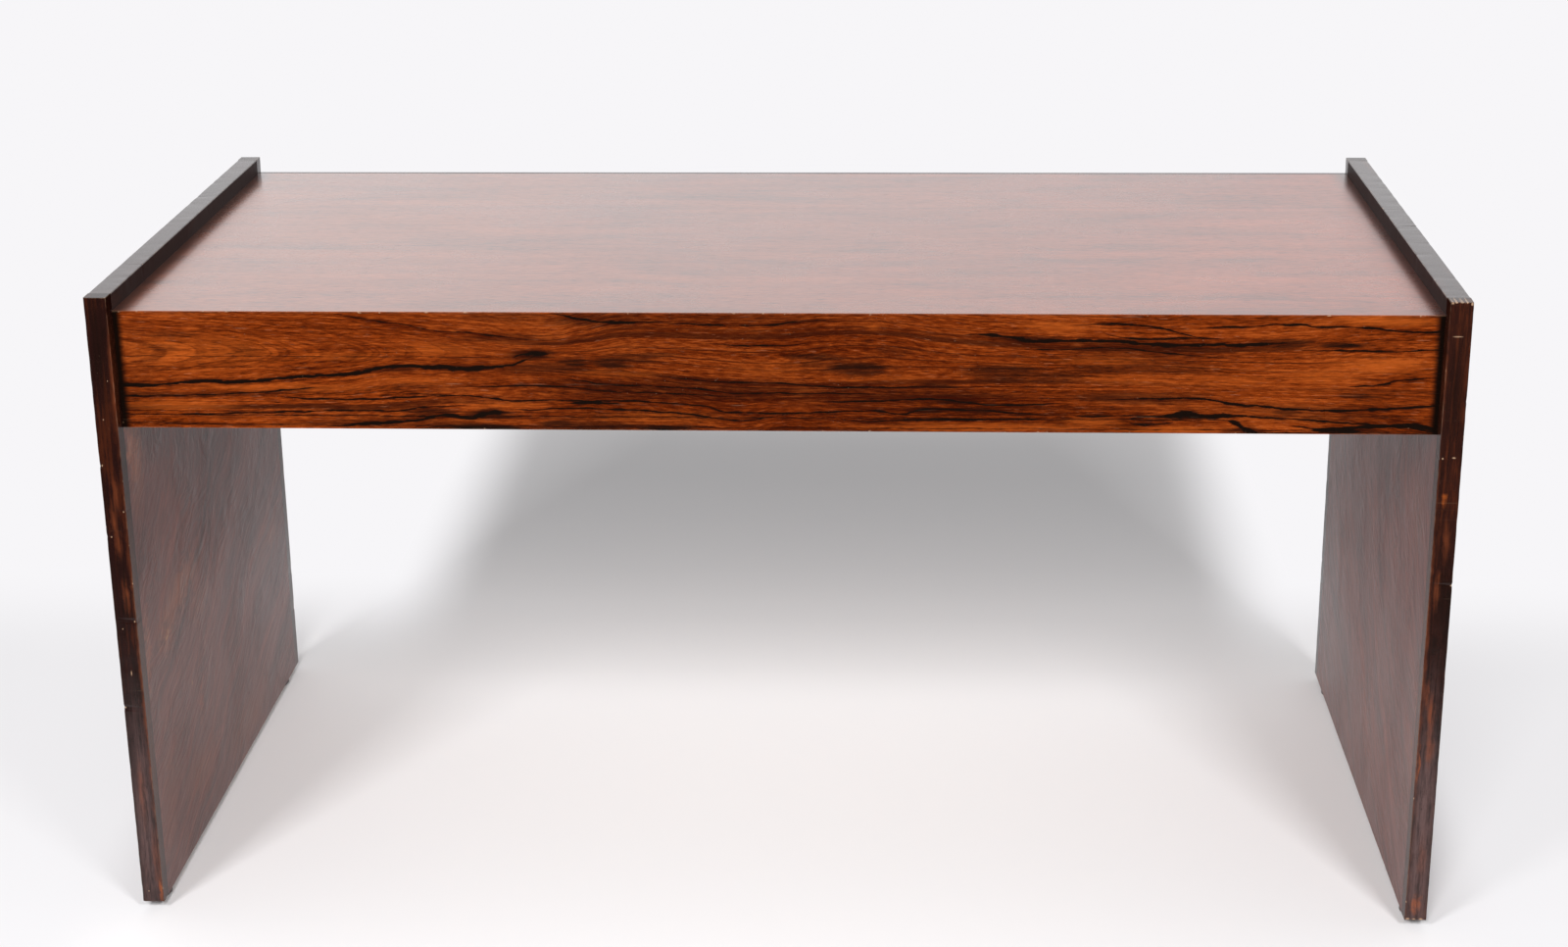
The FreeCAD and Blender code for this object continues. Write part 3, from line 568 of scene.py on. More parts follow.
def drawFascia(coords, timber, grain, colour, look):
    figure, arches = fasciaFigure, fasciaFigure["arches"]
    colour = drawDashes(timber, fasciaMarks, colour)
    x, y, z = axes(coords)
    along, rise = fasciaPlace(x, z)
    waver = layer(coords, *figure["waver"]) - 0.5
    up = (waver * figure["waverReach"] + z - figure["bottom"]) / figure["height"]
    breakUp = spread(layer(coords, *figure["breakUp"]), *figure["breaks"])

    def lines(rows, fading):
        nearest = None
        for halfWidth, strength, points in rows:
            first, last = points[0][0], points[-1][0]
            taper = min(figure["taper"], (last - first) * figure["taperShare"])
            thin, full = figure["thin"] / fasciaHeight, halfWidth / fasciaHeight
            body = [(first, full if first <= 0 else thin), (first + taper, full), (last - taper, full),
                    (min(last, fasciaLength), full if last >= fasciaLength else thin)]
            width = curveOf(along, [(at / fasciaLength, half) for at, half in body]) * breakUp
            share = abs(up - fasciaCurve(along, points)) / width + (1.0 - strength) * fading
            nearest = share if nearest is None else smaller(nearest, share)
        return nearest

    nearest = lines(figure["veins"], figure["veinFading"])
    halo = spread(nearest, *figure["halo"]) * figure["haloDepth"]
    soft = spread(lines(figure["softLines"], figure["softFading"]), *figure["softReach"])
    # oval patches follow a coordinate that wavers along the fibres
    shift = (layer(coords, *figure["drift"]) - 0.5) * figure["driftReach"]
    slide = (grain["Streak"] - 0.5) * figure["slideReach"]
    flat = joinAxes(x + slide, 0.0, z + shift)

    def patches(rows, core):
        total, grow = None, figure["patchGrowth"]
        for fromLeft, above, halfLength, halfHeight, strength in rows:
            right, rises, wide, high = metres(fromLeft, above, halfLength * grow, halfHeight * grow)
            spot = (figure["left"] + right, 0.0, figure["bottom"] + rises)
            mark = oval(flat, spot, (wide, 1.0, high), core) * strength
            total = mark if total is None else larger(total, mark)
        return total

    warm = patches(figure["warm"], figure["warmCore"]) * figure["warmDepth"]
    warm = warm * spread(grain["Streak"], *figure["warmThreads"])
    colour = blendColour(warm, colour, figure["glow"])
    fibre = spread(grain["Fine"], *figure["fibre"])
    dim = curveOf(along, [(at / fasciaLength, share) for at, share in figure["shadeAlong"]])
    colour = blendColour(dim * fibre, colour, figure["shade"])
    # nested arches that open towards the left end
    fromAxis = rise - arches["axis"]
    reach = waver * arches["waver"] + (along * fasciaLength + fromAxis * fromAxis * arches["curl"])
    ringTone = lineNoise(reach / arches["pitch"], *arches["rings"])
    ringLine = spread(abs(ringTone - 0.5), *arches["lineWidth"])
    arch = ringLine * arches["line"] + spread(ringTone, *arches["bands"]) * arches["band"]
    colour = blendColour(arch * archShare(along, rise) * fibre, colour, figure["shade"])
    smudge = patches(figure["smudges"], figure["smudgeCore"])
    smudge = smudge * spread(grain["Streak"], *figure["smudgeThreads"])
    colour = blendColour(smudge, colour, look["inkColour"])
    for share in (soft, halo):
        colour = blendColour(share * fibre, colour, figure["shade"])
    colour = blendColour(spread(nearest, *figure["sharpInk"]), colour, look["inkColour"])
    # painted shade darkens the corners against the ends
    fromEnd = figure["length"] / 2.0 - abs(x)
    return blendColour(spread(fromEnd, *figure["paintedCornerShade"]), colour, look["inkColour"])


topMarks = {"dashScale": (34.0, 330.0, 330.0), "dashFrom": (0.58, 0.70), "dash": 0.75,
            "dashColour": (0.04, 0.013, 0.008),
            # a painted shade and reflection of the lips darkens the top along its ends
            "lipShadeFrom": (0.697, 0.7245), "lipShadeSway": 0.012, "grimeAndLipShade": 0.75, "sideShare": 0.6,
            # start, stop and tint towards each side
            "sides": [(0.1, -0.8, (1.3, 1.6, 1.7)), (-0.1, 0.8, (1.45, 1.1, 0.9))]}


def drawTop(coords, timber, grain, colour, look):
    colour = drawDashes(timber, topMarks, colour)
    along = axes(coords)[0]
    for start, stop, tint in topMarks["sides"]:
        share = spread(along, start, stop, 0.0, topMarks["sideShare"])
        colour = blendColour(share, colour, tint, mode="MULTIPLY")
    # painted shade and reflection of the lips darken the top along them
    uneven = (grain["Cloud"] - 0.5) * topMarks["lipShadeSway"] + abs(along)
    paintedLipShade = spread(uneven, *topMarks["lipShadeFrom"]) * topMarks["grimeAndLipShade"]
    return blendColour(paintedLipShade, colour, look["inkColour"])


topLook = {
    "pith": (0.3, 1.1, 0.5), "pitch": 0.022, "wave": 0.008, "ink": 0.08, "pores": 0.75,
    "dark": (0.105, 0.024, 0.010), "mid": (0.20, 0.042, 0.013), "light": (0.27, 0.060, 0.018),
    "band": 0.2, "streak": 0.35, "cloud": 0.7, "fleck": 0.55, "fine": 0.85, "bump": 0.04, "wear": 0.25,
    "rough": 0.27, "coat": 0.58, "coatRough": 0.16, "coatRamps": [(0, 2.4, -1.2)],
    "smudge": 0.02, "scratch": 0.0, "joined": ((0.05, 0.0, 0.0), (0.05, 0.05, 0.0)),
}
fasciaLook = {
    "turn": (90.0, 0.0, 0.0), "pith": (0.1, 0.55, 0.25), "pitch": 0.0035, "wave": 0.008,
    "ink": 0.75, "pores": 0.8,
    "dark": (0.055, 0.008, 0.001), "mid": (0.18, 0.028, 0.003), "light": (0.32, 0.062, 0.009),
    "inkColour": (0.006, 0.003, 0.002), "band": 0.25, "streak": 0.45, "cloud": 0.8, "fleck": 0.4, "fine": 1.0,
    "rough": 0.26, "specular": 0.1, "nicks": 0.7, "wear": 0.2, "joined": ((0.05, 0.0, 0.0), (0.05, 0.0, 0.0)),
}
endLook = {
    "turn": (0.0, 90.0, 0.0), "pitch": 0.02, "wave": 0.03, "ink": 0.25, "pores": 0.7,
    "dark": (0.036, 0.010, 0.008), "mid": (0.100, 0.022, 0.014), "light": (0.180, 0.044, 0.024),
    "band": 0.1, "streak": 0.15, "cloud": 0.6, "fleck": 0.7, "fine": 0.5, "waver": 0.08, "thread": 0.4,
    "relief": 20.0, "wear": 0.3, "nicks": 0.3, "specular": 0.34, "scratch": 0.08,
    "coat": 0.15, "coatRough": 0.25, "coatRamps": [(1, -0.2, 0.4)],
    "joined": ((0.0, 0.05, 0.0), (0.0, 0.05, 0.05)),
}
ruddyEnd = {"mid": (0.116, 0.025, 0.017), "light": (0.205, 0.050, 0.029)}
lippingLook = {
    "pitch": 0.005, "wave": 0.006,
    "dark": (0.008, 0.003, 0.002), "mid": (0.021, 0.006, 0.004), "light": (0.058, 0.014, 0.006),
    "band": 0.22, "streak": 0.3, "cloud": 1.0, "fleck": 0.45, "fine": 0.25, "wear": 0.3, "wearWidth": 0.0010,
    "nicks": 0.8, "rough": 0.25, "specular": 0.33, "waver": 0.04, "scratch": 0.04, "thread": 0.15,
}
duskyLipping = {"mid": (0.015, 0.004, 0.003), "light": (0.044, 0.010, 0.004)}
lipFinish = {
    "band": 0.1, "streak": 0.1, "cloud": 0.5, "fleck": 0.1, "fine": 0.05, "pores": 0.1, "bump": 0.02,
    "scratch": 0.0, "specular": 0.02, "rough": 0.4,
    "coat": 0.75, "coatRough": 0.14, "coatRamps": [(2, 0.7484, 0.7494)],
    "joined": ((0.0, 0.05, 0.05), (0.0, 0.05, 0.0)),
}
drawerLook = {**fasciaLook, "joined": rosewoodBase["joined"], "ink": 0.9, "pitch": 0.0045, "wave": 0.012,
              "band": 0.55, "specular": 0.35}
upright = {"turn": (0.0, 90.0, 0.0)}
crosswise = {"turn": (0.0, 0.0, 90.0)}
endMarks = {"dashScale": (32.0, 190.0, 190.0), "dashFrom": (0.59, 0.70), "dash": 0.6,
            "dashColour": (0.018, 0.008, 0.006)}
endFlow = {"leanBelow": 0.65, "offset": (1.7, 4.1, 2.3),
           "sways": ((3.4, 1.0), (10.0, 0.28))}     # scale and share of each sway


def drawEnd(coords, timber, grain, colour, look):
    return drawDashes(timber, endMarks, colour)


# fibres of an end sway, and lean towards the visitor's side lower down
def featherFlow(bend, sway):
    def flow(coords):
        x, y, z = axes(coords)
        drop = larger(endFlow["leanBelow"] - z, 0.0)
        leant = drop * drop * bend + y
        for scale, share in endFlow["sways"]:
            wander = layer(coords, (0.0, scale, scale), endFlow["offset"], 1.0)
            leant = (wander - 0.5) * (sway * share) + leant
        return joinAxes(x, leant, z), 1.0
    return flow


# marks on the ends' inner faces: depth, height, half sizes, strength, in millimetres
leftEndMarks = [
    ("amber", [(-309, 582, 26, 45, 0.9), (-297, 555, 36, 70, 0.85)]),
    ("rust", [(-304, 500, 24, 50, 0.6)]),
    ("amber", [(-132, 344, 60, 34, 0.5), (-189, 335, 65, 40, 0.7), (-245, 312, 50, 36, 0.8),
        (-105, 293, 60, 36, 0.4), (258, 245, 50, 24, 0.4)]),
    ("rust", [(190, 232, 60, 20, 0.5)]),
    ("amber", [(-321, 332, 12, 50, 0.6), (-326, 292, 12, 50, 0.6)]),
    ("rust", [(-278, 135, 60, 60, 0.5), (-159, 85, 110, 40, 0.7), (77, 50, 150, 40, 0.65),
        (-302, 81, 40, 50, 0.6)]),
    ("ember", [(-132, 170, 11, 36, 0.45)]),
    ("ink", [(-238, 284, 28, 5, 0.5), (270, 325, 28, 6, 0.6), (286, 316, 18, 4, 0.5),
        (-60, 120, 60, 5, 0.3)]),
    ("bare", [(-246, 304, 9, 3, 0.7), (-240, 309, 3, 5, 0.6), (-163, 208, 4, 5, 0.4)]),
]
rightEndMarks = [
    ("ink", [(-254, 559, 10, 4, 0.7), (81, 206, 50, 4, 0.5), (-52, 162, 30, 6, 0.6), (-258, 294, 6, 8, 0.6),
        (-174, 95, 40, 4, 0.4), (150, 282, 40, 5, 0.45)]),
    ("rust", [(-263, 479, 40, 80, 0.35), (130, 336, 50, 20, 0.3), (-300, 150, 30, 80, 0.4)]),
    ("bare", [(-318, 218, 3, 9, 0.5)]),
]
# marks on the front lippings: offset from the middle of the width, height, half sizes, strength
leftLippingMarks = [
    # painted reflection of the pale floor, low on the front
    ("hazeAndReflection", [(0, 110, 18, 230, 0.55)]),
    ("rust", [(-2, 492, 6, 30, 0.7), (0, 460, 6, 26, 0.6), (3, 398, 6, 34, 0.7), (2, 520, 5, 34, 0.5),
        (-1, 149, 7, 60, 0.5), (8, 70, 6, 50, 0.6), (12.5, 662, 4, 90, 0.6), (12.5, 300, 5, 420, 0.55)]),
    ("ember", [(10, 28, 3, 22, 0.8)]),
    ("ink", [(-9, 524, 4, 60, 0.8), (-1, 440, 6, 18, 0.7), (-6, 191, 5, 60, 0.6),
        (-2, 690, 13, 130, 0.85)]),
    ("bare", [(-9.5, 556, 1.0, 1.6, 0.8), (9.5, 501, 1.0, 1.2, 0.8), (-7, 471, 1.0, 1.3, 0.8),
        (10, 368, 1.2, 1.2, 0.9), (-4.5, 359, 0.9, 1.2, 0.7), (0.5, 304, 0.8, 4.0, 0.8),
        (-10.5, 261, 1.4, 1.2, 0.8), (-4.5, 24, 1.0, 1.0, 0.8), (6, 655, 0.8, 1.0, 0.7),
        (-3, 610, 0.8, 1.2, 0.6)]),
]
rightLippingMarks = [
    # painted reflection of the pale floor, low on the front
    ("hazeAndReflection", [(0, 120, 18, 260, 0.7)]),
    ("rust", [(0, 269, 7, 34, 0.9), (1, 227, 7, 30, 0.8), (-6, 294, 5, 22, 0.8), (2, 480, 6, 34, 0.6),
        (-4, 420, 5, 30, 0.7), (2, 90, 7, 40, 0.5)]),
    ("ember", [(-4, 526, 4.5, 12, 1.0), (-9.5, 210, 2.0, 34, 0.9), (-1, 31, 8, 17, 0.85)]),
    ("ink", [(10, 372, 5, 34, 0.8), (-3, 355, 7, 20, 0.8), (-2, 156, 1.5, 2.5, 0.9),
        (2, 650, 13, 90, 0.7)]),
    ("rust", [(-12.5, 662, 4, 90, 0.4), (-12.5, 300, 5, 420, 0.6)]),
    ("bare", [(3.5, 575, 2.6, 1.3, 0.8), (-8.5, 574, 1.2, 1.5, 0.8), (11, 426, 1.2, 1.2, 0.8),
        (-2, 712, 7.0, 1.0, 0.6), (-9, 12, 3.0, 1.6, 0.8), (-2, 11.5, 2.4, 1.3, 0.8),
        (6, 11.8, 3.0, 1.4, 0.8), (-10, 749, 2.0, 1.6, 0.7), (-6, 749.6, 2.2, 1.0, 0.7),
        (0, 749.6, 2.6, 0.8, 0.6), (5.5, 749.5, 1.6, 1.2, 0.7), (10.5, 748, 1.6, 2.2, 0.8)]),
]
# chips along the fascia's top edge: place from its middle, height, half sizes
fasciaChips = [
    (-698, 729.6, 1.6, 0.8), (-598, 729.6, 2.6, 0.7), (-377, 729.5, 3.0, 0.9), (-334, 729.6, 3.4, 0.8),
    (-40, 729.6, 2.4, 0.8), (601, 729.4, 3.0, 1.0),
]
# faces that the marks lie on, how far they reach into the wood, and how bare a chip is
markPlanes = {"end": 725.0, "endReach": 20.0, "lippingMiddle": 737.5, "lippingFront": -350.0,
              "lippingReach": 30.0, "fasciaFront": -331.0, "fasciaReach": 2.0, "chip": 0.8}


def onEnd(side, marks):
    x, reach = side * markPlanes["end"], markPlanes["endReach"]
    return [(tint, metres(x, y, z), metres(reach, a, b), strength)
            for tint, rows in marks for y, z, a, b, strength in rows]


def onLipping(side, marks):
    middle = side * markPlanes["lippingMiddle"]
    y, reach = markPlanes["lippingFront"], markPlanes["lippingReach"]
    return [(tint, metres(middle + x, y, z), metres(a, reach, b), strength)
            for tint, rows in marks for x, z, a, b, strength in rows]


topChips = [("bare", metres(x, markPlanes["fasciaFront"], z), metres(a, markPlanes["fasciaReach"], b),
             markPlanes["chip"]) for x, z, a, b in fasciaChips]
boards = {
    "desk_top": rosewood("desk_top", topLook, drawTop),
    "top_back_lipping": rosewood("top_back_lipping", {**lippingLook, "pith": (0.0, 0.4, 0.2),
                                                      "joined": ((0.05, 0.05, 0.0), (0.05, 0.0, 0.0))}),
    "front_fascia": rosewood("front_fascia", fasciaLook, drawFascia, followFascia, topChips),
    "left_end_core": rosewood("left_end_core", {**endLook, "pith": (0.2, 0.5, 0.75)}, drawEnd,
                              featherFlow(2.0, 0.22), onEnd(-1.0, leftEndMarks)),
    "right_end_core": rosewood("right_end_core", {**endLook, **ruddyEnd, "pith": (1.7, -0.62, 0.9)}, drawEnd,
                               featherFlow(1.2, 0.16), onEnd(1.0, rightEndMarks)),
}
lippingSides = {"left": (-1.0, leftLippingMarks, duskyLipping, 0.0),
                "right": (1.0, rightLippingMarks, {}, 2.3)}     # side, marks, shade and drift of the grain
lippingFaces = {"inner": (0.7262, 0.7253), "belowTop": (0.733, 0.728)}     # where polish starts and is full
for side, (sign, marks, shade, drift) in lippingSides.items():
    within, face = (sign * level for level in lippingFaces["inner"])
    # no polish on the inner face above the top
    sheen = {"specular": 0.0, "coat": 0.7, "coatRough": 0.25,
             "coatRamps": [(0, face, within), (2, *lippingFaces["belowTop"])]}
    finishes = {
        "front": {**upright, **sheen, **shade, "pith": (0.4 + drift, 0.42, 0.31),
                  "joined": (origin, (0.0, 0.05, 0.0))},
        "back": {**upright, "pith": (1.1 + drift, 0.27, 0.45), "coat": 0.12, "coatRough": 0.25,
                 "coatRamps": [(0, within, face)], "joined": ((0.0, 0.05, 0.0), origin)},
        "top": {**crosswise, **lipFinish, "pith": (2.4 + drift, 0.38, 0.22)},
    }
    for edge, finish in finishes.items():
        name = side + "_end_" + edge + "_lipping"
        patches = onLipping(sign, marks) if edge == "front" else ()
        boards[name] = rosewood(name, {**lippingLook, **finish}, patches=patches)
drawerPiths = {"left": (0.4, 0.60, 0.33), "centre": (0.4, 0.61, 0.31), "right": (0.4, 0.62, 0.29)}
for bay, pith in drawerPiths.items():
    name = bay + "_drawer_front"
    boards[name] = rosewood(name, {**drawerLook, "pith": pith})
for nodeName, material in boards.items():
    dress(nodeName, material)

# lippings with worn arrises stand in for the plain ones
wornLook = {
    "step": 0.003, "arris": 0.0011, "segments": 3, "dip": 0.0005, "ripple": 55.0, "reach": 0.0032,
    "skin": 0.0001, "deskLevel": 0.730, "touch": 1e-6, "longEdge": 0.1, "rimShare": 1.05, "endShare": 0.04,
    "dents": {       # places of knocks, in millimetres, and their depth
        "left_end_front_lipping": [(-750, -350, 556, 0.8), (-750, -350, 471, 0.6), (-750, -350, 261, 1.0),
                                   (-725, -350, 501, 0.7), (-725, -350, 368, 0.9), (-738, -350, 750, 0.7)],
        "right_end_front_lipping": [(750, -350, 426, 0.8), (725, -350, 574, 0.8), (750, -350, 640, 0.6),
                                    (729, -350, 10, 1.2), (736, -350, 10, 1.0), (744, -350, 10, 1.2),
                                    (748, -350, 749, 1.2), (733, -350, 750, 0.8)],
        "left_end_top_lipping": [(-750, 120, 750, 0.7), (-725, -210, 750, 0.5)],
        "right_end_top_lipping": [(725, -150, 750, 0.6), (750, -20, 750, 0.7), (725, 60, 750, 0.5)],
        "left_end_back_lipping": [(-750, 350, 310, 0.7), (-725, 350, 95, 0.8)],
        "right_end_back_lipping": [(750, 350, 520, 0.7), (725, 350, 180, 0.6)],
    },
}


def wornLipping(nodeName, look):
    low, high = (Vector(corner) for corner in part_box(nodeName))
    middle, size = (low + high) / 2.0, high - low
    shape = bmesh.new()
    bmesh.ops.create_cube(shape, size=1.0)
    bmesh.ops.scale(shape, vec=size, verts=shape.verts)
    bmesh.ops.translate(shape, vec=middle, verts=shape.verts)
    axis = 1 if nodeName.endswith("top_lipping") else 2
    if axis == 1:     # its inner face runs down over the joint, to the desk top
        inner = high.x if high.x < 0.0 else low.x
        for vert in shape.verts:
            if abs(vert.co.x - inner) < look["touch"]:
                vert.co.x -= math.copysign(look["skin"], inner)
                if vert.co.z < middle.z:
                    vert.co.z = look["deskLevel"]

    def isLong(edge, way):
        return abs(edge.verts[0].co[way] - edge.verts[1].co[way]) > look["longEdge"]

    # only the arrises of the open face are worn, on a top lipping just the long ones
    openAxis, openLevel = (2, high.z) if axis == 1 else (1, low.y if "front" in nodeName else high.y)
    arrises = [edge for edge in shape.edges
               if all(abs(vert.co[openAxis] - openLevel) < look["touch"] for vert in edge.verts)
               and (axis == 2 or isLong(edge, 1))]
    bmesh.ops.bevel(shape, geom=arrises, offset=look["arris"], offset_type="OFFSET",
                    segments=look["segments"], profile=0.5, affect="EDGES", material=-1)
    runs = [edge for edge in shape.edges if isLong(edge, axis)]
    bmesh.ops.subdivide_edges(shape, edges=runs, cuts=int(size[axis] / look["step"]), use_grid_fill=True)
    bmesh.ops.recalc_face_normals(shape, faces=shape.faces)
    rim = look["arris"] * look["rimShare"]
    for vert in shape.verts:
        fromFace = abs(vert.co[openAxis] - openLevel)
        fromSide = min(vert.co.x - low.x, high.x - vert.co.x)
        fromEnd = min(vert.co[axis] - low[axis], high[axis] - vert.co[axis])
        if fromFace > rim or min(fromSide, fromEnd if axis == 2 else 1.0) > rim:
            continue
        inward = middle - vert.co
        inward[axis] = 0.0 if fromEnd > rim else inward[axis] * look["endShare"]
        depth = look["dip"] * max(0.0, mathNoise.noise(vert.co * look["ripple"]))
        for x, y, z, deep in look["dents"][nodeName]:
            away = (vert.co - Vector((x, y, z)) / 1000.0).length / look["reach"]
            if away < 1.0:
                depth = max(depth, deep / 1000.0 * (1.0 - away * away))
        vert.co += inward.normalized() * depth
    mesh = bpy.data.meshes.new(nodeName + "Worn")
    shape.to_mesh(mesh)
    shape.free()
    mesh.materials.append(boards[nodeName])
    piece = bpy.data.objects.new(nodeName + "Worn", mesh)
    scene.collection.objects.link(piece)
    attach(piece, "carcass")
    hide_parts(nodeName)
    return len(mesh.polygons)


faceCount = sum(wornLipping(nodeName, wornLook) for nodeName in wornLook["dents"])
print("worn lippings:", len(wornLook["dents"]), "pieces,", faceCount, "faces")
print("rosewood boards dressed:", len(boards))


# pale woods inside the desk

paleBase = {
    "turn": (0.0, 0.0, 90.0), "pith": (0.0, 0.5, 0.3), "pitch": 0.004, "wave": 0.008,
    "ink": 0.0, "pores": 0.35,
    "dark": (0.36, 0.205, 0.105), "mid": (0.46, 0.275, 0.15), "light": (0.55, 0.345, 0.20),
    "streak": 0.7, "cloud": 0.5, "fleck": (0.25, 0.13, 0.065), "fleckScale": (45.0, 260.0, 260.0),
    "fleckFrom": (0.62, 0.72), "flecks": 0.5, "fleckDepth": 0.5,
    "grimeAndLipShade": 0.12, "grimeColour": (0.20, 0.13, 0.08), "rough": 0.5, "smudge": 0.1,
    "bump": 0.15, "bumpStep": 0.0005,
}
lengthwise = {"turn": origin}
maple = {"dark": (0.46, 0.32, 0.18), "mid": (0.56, 0.40, 0.245), "light": (0.64, 0.475, 0.31), "flecks": 0.15,
         "pitch": 0.006}
paleWoods = {
    "carcassBeech": {}, "carcassBeechAcross": lengthwise,
    "drawerMaple": maple, "drawerMapleAcross": {**maple, **lengthwise},
    "bottomPly": {**lengthwise, "dark": (0.40, 0.255, 0.14), "mid": (0.52, 0.355, 0.21),
                  "light": (0.60, 0.43, 0.27), "pitch": 0.012, "wave": 0.03, "flecks": 0.2, "rough": 0.55},
    "dowelBeech": {**lengthwise, "rough": 0.6},
}


def paleWood(name, look):
    look = {**paleBase, **look}
    material, shader, coords = newMaterial(name)
    timber = stretched(coords, offset=look["pith"], turn=look["turn"])
    grain = useGroup(timberGrain, Vector=timber, Pitch=look["pitch"], Wave=look["wave"],
                     Ink=look["ink"], Pores=look["pores"])
    marks = useGroup(handling, Vector=coords)
    tone = (grain["Streak"] - 0.5) * look["streak"] + grain["Band"]
    tone = (grain["Cloud"] - 0.5) * look["cloud"] + tone
    fleck = spread(layer(timber, look["fleckScale"], detail=1.0), *look["fleckFrom"]) * look["flecks"]
    colour = blendColour(fleck, toneColour(tone, look), look["fleck"])
    height = fleck * -look["fleckDepth"] + grain["Streak"]
    fill(shader, {
        "Base Color": blendColour(marks["Smudge"] * look["grimeAndLipShade"], colour, look["grimeColour"]),
        "Roughness": marks["Smudge"] * look["smudge"] + look["rough"],
        "Normal": bumpOf(height, look["bump"], look["bumpStep"]),
    })
    return material


materials = {name: paleWood(name, look) for name, look in paleWoods.items()}


# metal and plastic

hardBase = {"metal": 1.0, "scale": 320.0, "speck": (3.0, 0.6), "hazeScale": 0.2, "specks": (0.35, 0.75),
            "hazes": (0.3, 0.7), "wornRough": 0.2, "bump": 0.08, "bumpStep": 0.0003}
hardware = {
    "zincSteel": {"base": (0.46, 0.46, 0.45), "worn": (0.30, 0.29, 0.27), "rough": 0.34},
    "insertBrass": {"base": (0.60, 0.42, 0.16), "worn": (0.32, 0.20, 0.08), "rough": 0.36},
    "glidePlastic": {"base": (0.020, 0.017, 0.016), "worn": (0.060, 0.055, 0.052), "metal": 0.0,
                     "rough": 0.42, "scale": 240.0},
}


def hardMaterial(name, look):
    look = {**hardBase, **look}
    material, shader, coords = newMaterial(name)
    speck = noise(coords, look["scale"], *look["speck"])
    hazeAndReflection = noise(coords, look["scale"] * look["hazeScale"])
    mixed = spread(speck, *look["specks"]) * spread(hazeAndReflection, *look["hazes"])
    fill(shader, {
        "Base Color": blendColour(mixed, look["base"], look["worn"]), "Metallic": look["metal"],
        "Roughness": mixed * look["wornRough"] + look["rough"],
        "Normal": bumpOf(speck, look["bump"], look["bumpStep"]),
    })
    return material


materials.update((name, hardMaterial(name, look)) for name, look in hardware.items())

# every other node by the slot that its record gives it
slotLooks = {
    "carcass_wood": "carcassBeech", "drawer_wood": "drawerMaple", "plywood": "bottomPly",
    "dowel_wood": "dowelBeech", "steel": "zincSteel", "brass": "insertBrass", "glide_plastic": "glidePlastic",
}
acrossNodes = {"under_rail": "carcassBeechAcross", "left_drawer_back": "drawerMapleAcross",
               "centre_drawer_back": "drawerMapleAcross", "right_drawer_back": "drawerMapleAcross"}
slotOf = {entry["node"]: entry["material_slot"] for entry in frame["record"]["subparts"]}
undressed = []
for nodeName in nodes:
    chosen = acrossNodes.get(nodeName) or slotLooks.get(slotOf.get(nodeName))
    if nodeName in boards:
        continue
    if chosen:
        dress(nodeName, materials[chosen])
    else:
        undressed.append(nodeName)
print("inner woods and hardware dressed, left over:", undressed)


# floor, light and camera

# the light grows from the front to the back, where polished faces mirror the backdrop
worldLook = {"backdrop": (0.93, 0.92, 0.94), "light": (0.05, 0.68), "turn": (-0.45, 0.5),
             "mirrored": (-0.1, 0.35)}
floorLook = {
    "size": 14.0, "colour": (0.86, 0.85, 0.865), "mottle": (0.80, 0.80, 0.82), "mottleScale": 3.0,
    "mottling": 0.04, "rough": 0.9, "specular": 0.1,
    "centre": (0.0, 0.9, 0.0), "fade": (1.5, 2.7), "frontFade": (0.75, 1.25),
    "sideCentre": 0.04, "sideFade": (0.54, 0.70), "behind": (0.33, 0.72),
    "outerFade": (0.755, 0.86), "outerShare": 0.62,
}


def makeFloor(look):
    mesh = bpy.data.meshes.new("studioFloor")
    shape = bmesh.new()
    bmesh.ops.create_grid(shape, x_segments=1, y_segments=1, size=look["size"] / 2.0)
    shape.to_mesh(mesh)
    shape.free()
    floor = bpy.data.objects.new("studioFloor", mesh)
    scene.collection.objects.link(floor)
    material, shader, coords = newMaterial("studioPaper")
    tree = coords.tree
    away = vecCalc("DISTANCE", vecCalc("MULTIPLY", coords, (1.0, 1.0, 0.0)), look["centre"])
    x, y, z = axes(coords)
    # painted light: behind the desk the floor turns to the backdrop colour beside the shadow, which trims the
    # cast shadow's sides
    beside = spread(abs(x - look["sideCentre"]), *look["sideFade"]) * spread(y, *look["behind"])
    below = signalOf(tree, "ShaderNodeNewGeometry", output="Backfacing")     # nothing hides the underside
    cameraRay = signalOf(tree, "ShaderNodeLightPath", output="Is Camera Ray")
    # painted light: outside the ends the floor turns to the backdrop colour for camera rays, so the shadows
    # there are faint
    outer = spread(abs(x), *look["outerFade"], 0.0, look["outerShare"]) * cameraRay
    kept = 1.0
    for gone in (spread(away, *look["fade"]), beside, outer, spread(y * -1.0, *look["frontFade"])):
        kept = kept * (1.0 - gone)
    fade = larger(1.0 - kept, below)
    mottle = noise(coords, look["mottleScale"]) * look["mottling"]
    fill(shader, {"Base Color": blendColour(mottle, look["colour"], look["mottle"]),
                  "Roughness": look["rough"], "Specular IOR Level": look["specular"]})
    clear = signalOf(tree, "ShaderNodeBsdfTransparent")
    backdrop = signalOf(tree, "ShaderNodeEmission", {"Color": worldLook["backdrop"], "Strength": 1.0})
    beyond = signalOf(tree, "ShaderNodeMixShader", {0: cameraRay * (1.0 - below), 1: clear, 2: backdrop})
    paper = Signal(tree, shader.outputs[0])
    mix = signalOf(tree, "ShaderNodeMixShader", {0: fade, 1: paper, 2: beyond})
    feed(tree.nodes["Material Output"].inputs["Surface"], mix)
    mesh.materials.append(material)


